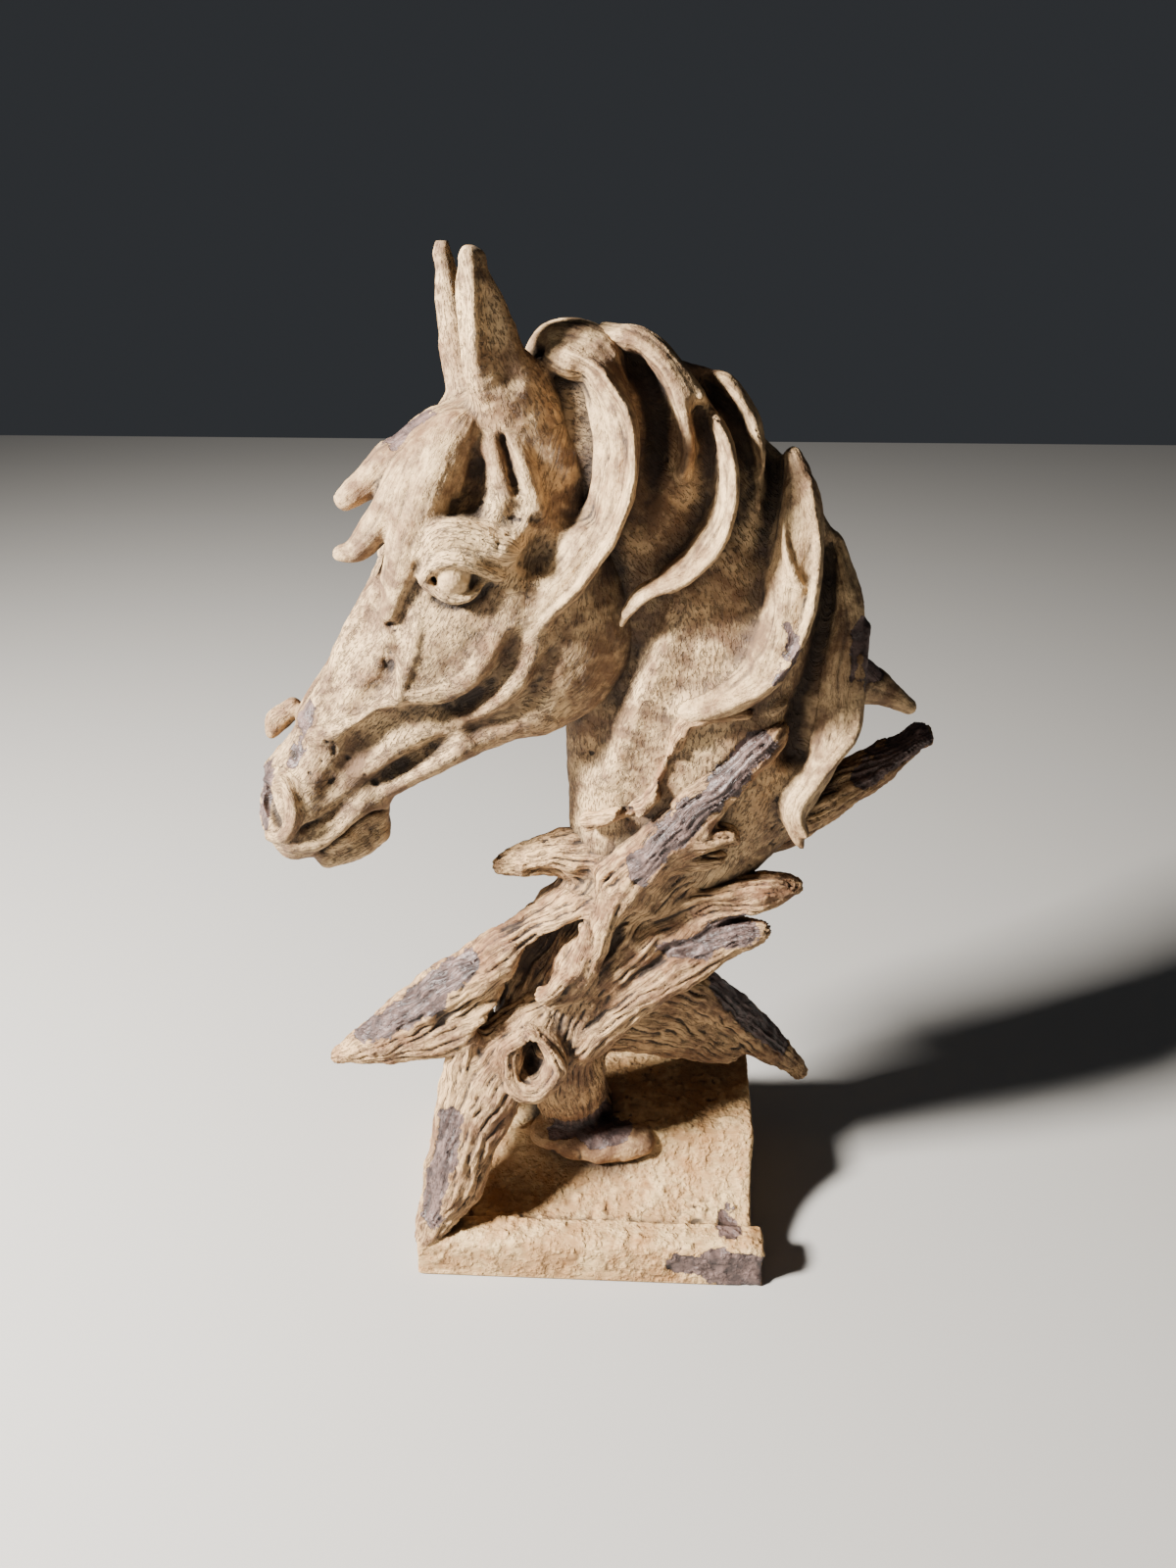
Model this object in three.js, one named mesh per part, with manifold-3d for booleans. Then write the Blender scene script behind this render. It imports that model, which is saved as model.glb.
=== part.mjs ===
// Horse head statue: a horse's head and neck growing out of a driftwood root,
// standing on a separate plinth. Millimetres, +Z up, the origin under the middle
// of the plinth. The horse looks along -X and its left side faces -Y.
import * as THREE from 'three';
import { mergeVertices } from 'three/addons/utils/BufferGeometryUtils.js';
import Module from 'manifold-3d';

const wasm = await Module();
wasm.setup();

// Figure
const FIGURE_HEIGHT = 372; // from the plinth's top to the ear tips
const HEAD_TURN = 14; // degrees that the face turns towards the near side
const SEAT_GAP = 0.3; // between the figure and the plinth

// Plinth: a block with a hollowed front slope and a moulded lip at its foot
const PLINTH_WIDTH = 150; // at its top
const FOOT_WIDTH = 143; // behind the lip, at the bottom
const PLINTH_DEPTH = 114;
const PLINTH_HEIGHT = 49; // at its back edge
const BACK_ROUND = 9; // radius of the top's back edge
const TOP_FALL = 5; // height that the top loses from back to front
const SLOPE_RUN = 30; // plan length of the hollowed slope
const SLOPE_HOLLOW = 5; // depth of the slope below a straight line
const LIP_HEIGHT = 22;
const LIP_DEPTH = 15;
const LIP_ROUND = 6;
const LIP_OVERHANG = 2; // that the lip stands out at each side
const GROOVE_DEPTH = 2.5; // of the groove behind the lip

// Fineness of the faceted figure
const CELL = FIGURE_HEIGHT / 136;
const SPAN_STEPS = 5; // straight lengths from one station of a stroke to the next
const FIGURE_TRIANGLES = 9300;
const FAR_CELLS = 10; // distance, in cells, that empty space starts with
const FILL_SHARE = 0.05; // part of a cell that a filled corner lies under the skin
const EDGE_WEIGHT = 1e-3; // of an edge's length in the cost of joining its ends
const FLAT_LIMIT = 1e-4; // under it the planes round an edge don't fix a point
const LEAST_FACING = 0.3; // cosine of the furthest that a face may turn in a join
const TINY = 1e-6; // keeps a sum clear of a division by nothing

// The figure is laid on in strokes, as a sculptor lays on clay. Each has a few
// stations [x, y, z, half width, half thickness] with z above the plinth's top. The
// half thickness lies along y and the half width across it. The first value of a
// stroke is the width of the fillet where it meets the rest. All are in percent of
// FIGURE_HEIGHT. A hollow is cut away, and a pair has a mirror image.
const form = (fillet, ...rows) => ({ fillet, rows });
const pair = (fillet, ...rows) => ({ fillet, rows, mirrored: true });
const hollow = (fillet, ...rows) => ({ fillet, rows, cut: true });
const hollowPair = (fillet, ...rows) => ({ fillet, rows, cut: true, mirrored: true });

// Head, in its own turned frame: forwards, towards the near side, up
const HEAD_AXIS = 2.2; // x of the upright axis that the head turns about
const faceStrokes = [
  // Skull from the poll down the nose, cheeks and lower jaw
  form(3.2, [9.2, 0, 79.8, 7.5, 6.6], [12.8, 0, 72.1, 9.2, 8], [17.8, 0, 64, 7.7, 6.9],
    [23.1, 0, 57.9, 6.4, 5.6], [27.9, 0, 52.6, 5.5, 5], [31, 0, 48.7, 5.1, 5.1]),
  pair(2.2, [6.5, 3.6, 69, 6.7, 4], [7.5, 3.8, 64.3, 8.9, 4.3], [11.7, 3.6, 61.3, 6.2, 4]),
  pair(2.2, [9.3, 3.6, 57.1, 2.8, 3.2], [16.8, 3, 54, 2.4, 2.6], [22.4, 2.2, 50.7, 1.9, 2.4]),
  // Muzzle, upper lip, lower lip and chin
  form(2.2, [28.7, 0, 49.9, 4.7, 5.2], [31.9, 0, 47.6, 4.8, 5.7], [34.1, 0, 45.5, 3.5, 5]),
  form(1.3, [34.2, 0, 43, 2.1, 4.4], [30.2, 0, 44, 1.9, 4.6], [25.9, 0, 45.4, 1.4, 4]),
  form(1.6, [31.2, 0, 40.8, 1.3, 3.6], [28.2, 0, 41.9, 1.7, 3.9], [25.7, 0, 43, 1.4, 3.2]),
  // Filled temple, cheek bone, cheek muscle, lower edge of the nose bone, lip muscle, lower jaw
  pair(2.2, [12.3, 4.5, 81.5, 1.6, 1.6], [11.6, 5.5, 78.6, 1.8, 1.9], [10.7, 6.3, 75.2, 2, 1.9]),
  pair(1.3, [23.1, 5.4, 59.5, 0.7, 0.9], [20.6, 6, 59.8, 0.9, 1.1], [17.8, 6.1, 60.2, 1.1, 1.3],
    [14.9, 6.9, 62.5, 1.3, 1.4], [13, 7.2, 65.7, 1.3, 1.3], [11.8, 7.2, 68.9, 1.1, 1.1]),
  pair(1.3, [17.6, 4.4, 56.7, 0.8, 0.9], [14.1, 6.4, 59, 1.1, 1.1], [11.2, 7.2, 61.4, 1, 1.2],
    [9.4, 7.4, 65, 1, 1]),
  pair(1.1, [22.9, 5.5, 59.4, 0.5, 0.9], [24.8, 5.1, 58.8, 0.6, 1], [26.6, 4.7, 57.4, 0.7, 1.1],
    [28.8, 4.2, 56.1, 0.7, 1], [30.8, 3.2, 55.1, 0.8, 0.8]),
  pair(1.6, [18.3, 4.1, 55.6, 0.8, 0.9], [21.3, 4.2, 54.8, 0.9, 1], [23.8, 4.2, 53.3, 1, 1.1],
    [26.1, 4.4, 51.6, 0.9, 0.9]),
  pair(1.6, [16.4, 5, 54, 0.8, 1], [20, 4.6, 52, 0.8, 1.1], [22.8, 4.1, 50.7, 0.9, 1.1],
    [24.9, 3.4, 48.8, 0.9, 1.1], [25.6, 2.5, 46.6, 0.8, 0.9]),
  pair(1.6, [23.3, 1.6, 69.4, 0.8, 0.9], [25.8, -0.1, 65.1, 1, 0.9], [28.4, 1, 60.6, 1, 0.9],
    [31.4, 1.2, 56.1, 1, 0.9]),
  // Valleys under those edges
  hollowPair(1.1, [20.6, 6.2, 57.9, 0.7, 1.1], [16.9, 6, 58.3, 0.9, 1.2], [13.7, 7.9, 61.4, 0.9, 1.2],
    [11.5, 8.4, 65.3, 0.8, 1]),
  hollowPair(1.1, [15.7, 6.4, 55.6, 0.7, 0.9], [12.5, 7.4, 57.2, 0.8, 1], [10, 8, 59.8, 0.8, 1],
    [8.2, 8.7, 63.9, 0.7, 0.9]),
  hollowPair(2.2, [22.5, 6.4, 57.3, 1.1, 1.5], [25.3, 6.3, 55.9, 1.3, 2], [27.9, 6.2, 53, 1.3, 2],
    [30.1, 6.5, 50.2, 1.1, 1.5]),
  hollowPair(1.1, [18.8, 5.8, 54.4, 0.6, 0.9], [22, 5.4, 52.7, 0.8, 1.2], [24.4, 5.1, 51.1, 0.8, 1.2],
    [26.9, 6, 50, 0.8, 1.4], [29.5, 6.3, 47.8, 0.7, 1.2]),
  hollowPair(1.6, [10.9, 8, 76.5, 1.4, 0.9], [9.4, 8, 73.3, 1.6, 0.9]),
  // Tear line with its hollow, lump on the nose
  pair(0.8, [22.8, 1.9, 70.9, 0.6, 0.9], [22.6, 3.8, 68.6, 0.6, 1], [23.2, 4.3, 65.9, 0.5, 0.9],
    [22.7, 5.4, 63.3, 0.4, 0.8], [22.7, 5.7, 60.9, 0.4, 0.8], [22.6, 5.6, 59.4, 0.4, 0.8]),
  hollowPair(1.1, [23.2, 5.9, 63.8, 0.6, 0.9], [23.9, 5.9, 61.6, 0.7, 1.2], [25.3, 5.5, 60, 0.8, 1.2],
    [26.9, 5.1, 58.7, 0.7, 0.8]),
  form(0.8, [33.3, -3, 56, 1, 1.2], [35, -3.2, 54.6, 1.2, 1.2], [35.7, -3, 53.3, 0.6, 0.8]),
  // Fold of the upper lip, mouth line, hollow behind the chin
  pair(1.1, [34.5, 4.4, 44.2, 0.6, 1], [32.2, 4.6, 44.3, 0.7, 1.2], [29.8, 4.8, 45.5, 0.7, 1.2],
    [27.6, 4.6, 47.4, 0.7, 1.1], [25.6, 3.5, 48, 0.6, 0.8]),
  hollowPair(0.8, [32, 4.4, 42.3, 0.3, 1.6], [30, 5.3, 44.1, 0.4, 1.8], [28.2, 5, 45.6, 0.5, 1.8],
    [26.5, 4.3, 46.3, 0.4, 1.5], [25, 2.9, 46.2, 0.3, 1]),
  hollowPair(1.1, [27.3, 4.4, 44.4, 0.8, 0.9], [25.4, 4, 45.3, 0.7, 1]),
  // Nostrils
  pair(0.8, [36.1, 1.2, 50.3, 0.5, 1], [34.5, 3.4, 50.9, 0.6, 1.2], [33.8, 4.7, 49.7, 0.6, 1.4],
    [33.8, 5.2, 47.7, 0.6, 1.4], [34.9, 4.5, 45.7, 0.6, 1.2], [36.5, 3.1, 44.9, 0.5, 1]),
  hollowPair(0.5, [36.7, 2.1, 49.3, 0.7, 1.8], [36.4, 3.2, 48.1, 0.9, 2], [35.8, 4.5, 46.9, 0.7, 1.5]),
  // Hollow over the eye
  hollowPair(1.1, [13.8, 6.1, 81.6, 0.5, 1.2], [14.4, 7, 79.5, 1.2, 1.9], [14.9, 7.4, 77.7, 1, 1.6]),
  // Eyes: ball, lids, crease under them, the heavy brow with its fold and its link to the temple
  pair(0.3, [17.1, 7.8, 72, 1.6, 1.9], [17, 7.8, 72, 1.6, 1.9]),
  pair(0.8, [19.8, 6.8, 71.8, 0.4, 0.9], [18.8, 7.6, 73.4, 0.5, 1.1], [17.1, 8.4, 74.1, 0.6, 1.3],
    [15.1, 8.5, 73.4, 0.6, 1.2], [13, 7.8, 72.1, 0.5, 0.9]),
  pair(0.8, [19.1, 6.9, 70.6, 0.4, 0.8], [17.9, 7.5, 69.7, 0.5, 0.9], [16.2, 7.8, 69.6, 0.5, 0.9],
    [14.5, 7.8, 70.7, 0.5, 0.9]),
  hollowPair(0.5, [18.9, 7.2, 69.6, 0.4, 0.8], [17.3, 7.8, 68.8, 0.4, 0.9], [15.5, 8.1, 69.3, 0.4, 0.9],
    [13.9, 8.3, 70.8, 0.4, 0.8]),
  pair(1.1, [19.2, 6.4, 74.3, 0.6, 1.2], [18, 7.1, 76, 1.2, 1.5], [16.5, 7.7, 76, 1.4, 1.7],
    [14.6, 8, 75.2, 1.3, 1.6], [12.6, 8.2, 74.4, 1.2, 1.8]),
  pair(1.3, [9.8, 6.6, 77.4, 0.9, 1.2], [11, 7.1, 75.4, 1.1, 1.3], [12.3, 7.3, 74.1, 1.2, 1.4]),
  // Ears: the near one with a blunt tip and a rim between two flats, the far one with a groove
  form(1.6, [10.2, 3.4, 85.2, 4.1, 3], [12.2, 4.4, 89.8, 2.9, 2.4], [13.4, 5, 94.2, 2.1, 1.9],
    [13.9, 5.2, 96.8, 1.3, 1.4], [14, 5.2, 98.1, 0.8, 1]),
  form(1.3, [13.4, -3.4, 85.4, 2.4, 2.6], [14.4, -4.6, 89.4, 1.9, 2], [15, -5.8, 93.9, 1.4, 1.5],
    [15.4, -6.4, 97.4, 1, 1.1], [15.4, -6.6, 99.1, 0.6, 0.9]),
  form(0.8, [14.4, 5.2, 98.4, 0.6, 0.9], [13.4, 5.2, 98.2, 0.5, 0.8]),
  hollow(0.8, [15.1, 6.6, 95.7, 0.4, 0.9], [15, 6.4, 92.6, 0.5, 1], [14.9, 5.9, 89.8, 0.4, 0.9]),
  hollow(1.3, [13, 7.1, 95, 0.6, 0.8], [12.3, 7.3, 91.9, 0.9, 1], [11.2, 7.2, 89.1, 1, 1]),
  form(0.8, [14.3, 5.6, 98.1, 0.5, 1], [14.3, 6.4, 95.7, 0.4, 0.9], [14.2, 6.4, 92.6, 0.4, 0.9],
    [14.1, 6, 89.8, 0.4, 0.9], [13.5, 5.5, 87.5, 0.4, 0.8]),
  hollow(0.5, [15.8, -6, 91.1, 0.6, 1.1], [15.9, -6.6, 94.9, 0.6, 0.9], [16, -6.8, 97.2, 0.4, 0.7]),
];

const forelockStrokes = [
  // Strands that run from the forelock over the temple
  pair(0.8, [13.8, 2.9, 84.8, 0.6, 1.2], [13.2, 4.6, 83.6, 0.7, 1.3], [12.8, 5.7, 81.8, 0.6, 1.1],
    [12.4, 6.4, 79.8, 0.4, 0.9]),
  pair(1.1, [12.3, 3.8, 84.9, 0.6, 1.2], [11.1, 5.8, 82.9, 0.7, 1.3], [9.9, 6.6, 80.6, 0.7, 1.4],
    [9.1, 7.1, 77.5, 0.4, 1]),
  pair(0.8, [14.8, 1.3, 84.6, 0.7, 1.2], [16.3, 2.7, 82.2, 0.7, 1.2], [17.1, 4.4, 79.8, 0.7, 1.2],
    [18, 5.4, 77.4, 0.7, 1.1]),
  pair(0.5, [14.3, 2.7, 84.4, 0.5, 0.9], [15.3, 3.6, 82.5, 0.5, 1], [15.9, 4.9, 80.4, 0.4, 0.9],
    [16.3, 5.4, 78.8, 0.4, 0.7]),
  // Forelock: its crown and its locks, two of them standing clear of the brow
  form(1.6, [13.5, 0, 84.3, 2.2, 3.6], [17, 0, 82.8, 2.3, 4.8], [19.9, 0, 80.3, 2.1, 4.4]),
  form(1.1, [17.1, 0, 83.5, 1.8, 3], [21.2, -0.4, 81.1, 1.8, 2.4], [23.9, -0.4, 78.9, 1.5, 2],
    [26.2, -0.2, 77.4, 1, 1.6]),
  form(1.1, [16.1, 3, 84, 1.6, 2], [19.7, 3.2, 80.9, 1.5, 2], [22.8, 2.8, 76.3, 1.6, 2],
    [25.2, 2.4, 73.5, 1.2, 1.7], [26.9, 2, 73, 0.7, 1.3]),
  pair(1.3, [15.5, 4.4, 84.2, 1.4, 1.6], [18.1, 5.4, 80.2, 1.8, 1.7], [20.2, 5.6, 75.5, 1.6, 1.6],
    [21.7, 5.2, 71.3, 1.1, 1.3], [22.9, 4.8, 67.9, 0.5, 0.9]),
];

// Body, in the statue's own frame: x, y towards the far side, z
const neckStrokes = [
  // Neck, the crest along its back, the throat, and a soft fold down its side
  form(3.8, [-4.6, 0, 82.9, 7, 6], [3, 0, 79.1, 9.5, 6.6], [9.7, 0, 71.2, 11.9, 7.4],
    [12.1, 0, 62.5, 13.8, 8.2], [12.1, 0, 52.6, 14.1, 8.4], [9.5, 0, 42.6, 10.8, 7.4]),
  form(2.2, [-4.5, -0.6, 87.7, 2.4, 4], [0.2, -1, 86.7, 3.7, 4.8], [6.3, -1.6, 83.6, 4.2, 5.4],
    [12.6, -1.4, 79.1, 3.9, 5.2], [18.3, -0.8, 73.2, 3.5, 5]),
  form(2.2, [3.3, 0, 58, 6.2, 6], [2.6, 0, 49, 5.3, 6.4], [1.9, 0, 41.2, 4.6, 6]),
  form(2.2, [8.3, -6.5, 68.4, 1.3, 1.2], [6.4, -6.4, 62.8, 1.5, 1.3], [3.6, -5.9, 55.6, 1.6, 1.3],
    [1.7, -5.7, 49.4, 1.2, 1]),
  hollow(2.2, [5.9, -7.8, 68.8, 0.8, 1], [4.3, -7.5, 63.2, 1, 1.1], [1.7, -7.1, 56.5, 0.9, 1.1],
    [-0.1, -6.3, 50.7, 0.8, 1]),
];

const greatLockStrokes = [
  // Curl over the poll, and the great lock that sweeps over the cheek, with its sharp edge and its channel
  form(1.3, [-6.2, -1, 89.4, 0.7, 2], [-4.1, -2, 91.4, 1.2, 2.6], [-1.4, -3, 91.5, 1.4, 3],
    [1.3, -4, 90.3, 1.3, 2.6], [2.9, -4.6, 87.9, 0.5, 1.4]),
  form(2.2, [-3, -5.5, 90, 0.9, 1.6], [0, -7, 88.2, 1.9, 2], [1.8, -8, 84.3, 2.4, 2.2],
    [1.9, -8.6, 79.7, 2.3, 2.2], [0.1, -8.9, 74.7, 1.8, 2], [-3.2, -8.9, 70.2, 1.3, 1.7],
    [-6.2, -8.5, 66.3, 0.8, 1.2], [-8, -7.8, 63.1, 0.3, 0.8]),
  form(0.8, [-1.8, -6.6, 90.6, 0.4, 1.3], [1.1, -8.4, 88.9, 0.5, 1.8], [3.3, -9.7, 85.6, 0.5, 2],
    [3.7, -10.5, 81.4, 0.5, 2], [2.5, -10.7, 76.7, 0.5, 1.9], [-0.6, -10.5, 71.6, 0.5, 1.6],
    [-4.4, -9.7, 67.1, 0.4, 1.2], [-7.6, -8.5, 63.3, 0.3, 0.8]),
  hollow(1.9, [-1.3, -8, 88.3, 0.8, 1.5], [0.1, -9.3, 85.4, 1, 1.7], [0.5, -10, 81.3, 1, 1.7],
    [-0.3, -10.1, 76.9, 0.8, 1.3]),
];

const maneLocks = [
  // Locks of the near side behind the first, each sweeping down and forwards
  form(1.3, [8.2, -5.4, 88, 0.9, 1.6], [10.7, -6.6, 84.8, 1.3, 1.9], [11.8, -7.8, 80.9, 1.4, 2],
    [11.5, -8.6, 76.9, 1.3, 1.9], [9.5, -9, 73.6, 1, 1.7], [6.9, -9.2, 71.1, 0.7, 1.4],
    [4.2, -9, 69.5, 0.5, 1.1], [2.8, -8.4, 66.6, 0.3, 0.8]),
  form(1.1, [7.9, -2.4, 88.7, 0.8, 1.6], [11.5, -3.8, 87.2, 1.3, 2], [13.8, -5, 84.4, 1.3, 2],
    [14.8, -6, 81.5, 0.9, 1.7], [15, -6.8, 79, 0.4, 1.1], [15.4, -7.2, 77.1, 0.3, 0.8]),
  form(2.2, [18, -4.4, 81.2, 1.1, 1.8], [19, -6.6, 76.8, 2, 2.2], [18.7, -8, 71.6, 2.2, 2.3],
    [18.1, -8.8, 66.6, 2.1, 2.3], [16.4, -9, 62.1, 1.7, 2], [13.1, -9, 59.2, 1.1, 1.5],
    [9.6, -8.8, 57.8, 0.6, 1]),
  form(1.6, [22.9, -2, 72.4, 1.1, 2], [24.6, -3, 66.8, 1.8, 2.6], [24.5, -4.4, 61.2, 2.2, 2.8],
    [24.3, -5.6, 55.8, 2.1, 2.6], [22.5, -6.6, 50.7, 1.5, 2.2], [20.5, -7.2, 47.2, 1.1, 1.8],
    [21.1, -7.4, 43.8, 0.7, 1.3], [21.6, -7.4, 42.7, 0.4, 1]),
];

// The far side's locks are the near side's, mirrored and hung a little lower
const FAR_LOCK_DROP = 4;
const farLock = ({ fillet, rows }) => ({
  fillet,
  rows: rows.map(([x, y, z, a, b]) => [x, -y, z - FAR_LOCK_DROP, a, b]),
});

const maneDetails = [
  // Lesser locks over the crest and between the main locks
  form(1.1, [1.1, -2.5, 91.7, 0.9, 2], [3.9, -4.2, 91.2, 1.3, 2.3], [6.6, -5.6, 88.9, 1.5, 2.3],
    [8.2, -6.8, 85.9, 1.3, 2.1], [8.9, -7.4, 82.9, 1, 1.7], [8.1, -7.6, 80.5, 0.5, 1.1]),
  form(0.8, [5.9, -7.6, 81.7, 0.5, 1], [6.2, -8, 78.7, 0.5, 1], [3.9, -8.2, 75.2, 0.5, 1],
    [2.7, -8.2, 72.1, 0.5, 0.9], [1.4, -8, 69.6, 0.3, 0.7]),
  form(0.8, [17.9, -7.8, 57.8, 0.5, 1], [19.6, -7.6, 59, 0.6, 1.1], [20.8, -7.2, 61.1, 0.5, 1]),
  form(1.3, [26.3, -1, 58.8, 2.6, 2.4], [29.9, 0, 56.8, 1.5, 1.6], [32.8, 0.6, 55, 0.8, 1]),
  // Sharp edges of the locks
  form(0.8, [9.6, -7.2, 86.8, 0.4, 1.3], [11.9, -8.9, 83.3, 0.5, 1.8], [12.5, -10, 79.2, 0.5, 1.8],
    [11.5, -10.5, 74.9, 0.5, 1.7], [8.7, -10.5, 71.7, 0.5, 1.5], [5.5, -10.2, 70.1, 0.4, 1.2],
    [3.3, -9.4, 67.9, 0.3, 0.8]),
  form(0.5, [10.4, -3.6, 88.1, 0.4, 1.2], [13.2, -5.4, 85.9, 0.4, 1.3], [14.9, -6.6, 82.8, 0.4, 1.3],
    [15.2, -7.4, 80, 0.3, 1]),
  form(0.8, [19.5, -6.8, 79.1, 0.4, 1.3], [20.5, -8.6, 74.1, 0.5, 1.6], [20.2, -9.9, 68.9, 0.5, 1.7],
    [18.8, -10.5, 64.7, 0.5, 1.6], [16.5, -10.6, 61.4, 0.5, 1.4], [13.1, -10, 59.2, 0.4, 1.1],
    [9.8, -9.2, 57.8, 0.3, 0.8]),
  form(0.8, [26.8, -3.6, 65, 0.5, 1.4], [26.3, -5.4, 59.5, 0.5, 1.5], [25.7, -7, 55.4, 0.6, 1.5],
    [23, -8.2, 51.3, 0.6, 1.4], [20.9, -8.6, 47.7, 0.5, 1.2], [21.8, -8.4, 44.4, 0.4, 1]),
  // Hollows beside the locks
  hollow(1.1, [3.8, -5.4, 89.3, 1, 2.4], [5.5, -7.2, 85.5, 1.4, 3], [5.6, -8.2, 80.5, 1.3, 2.8],
    [4.3, -8.8, 75.3, 0.9, 2], [3.4, -8.8, 71.6, 0.5, 1.2]),
  hollow(1.1, [9.8, -4, 88.2, 0.7, 2], [13.1, -7, 84.3, 0.8, 2.4], [14.3, -8.2, 79.3, 0.8, 2.2],
    [13.6, -8.8, 74.8, 0.8, 1.6]),
  hollow(1.1, [16.4, -3.8, 83, 0.7, 2], [16.5, -7.2, 78.2, 0.8, 2], [15.2, -8.6, 73.1, 0.9, 1.4]),
  hollow(1.1, [22.6, -4.2, 73, 0.8, 2], [22.5, -6, 67.7, 0.9, 2.4], [21.6, -7.2, 62.2, 1.1, 2.4],
    [20.2, -8, 57.3, 1.3, 2.4], [20, -8.2, 52.6, 1.4, 2.2]),
  hollow(1.6, [9.5, -7.4, 85.6, 0.8, 1.5], [10.3, -8.7, 81.5, 0.9, 1.7], [9.9, -9.4, 77.3, 0.8, 1.5],
    [8.2, -9.8, 74.3, 0.5, 1.2]),
];

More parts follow.
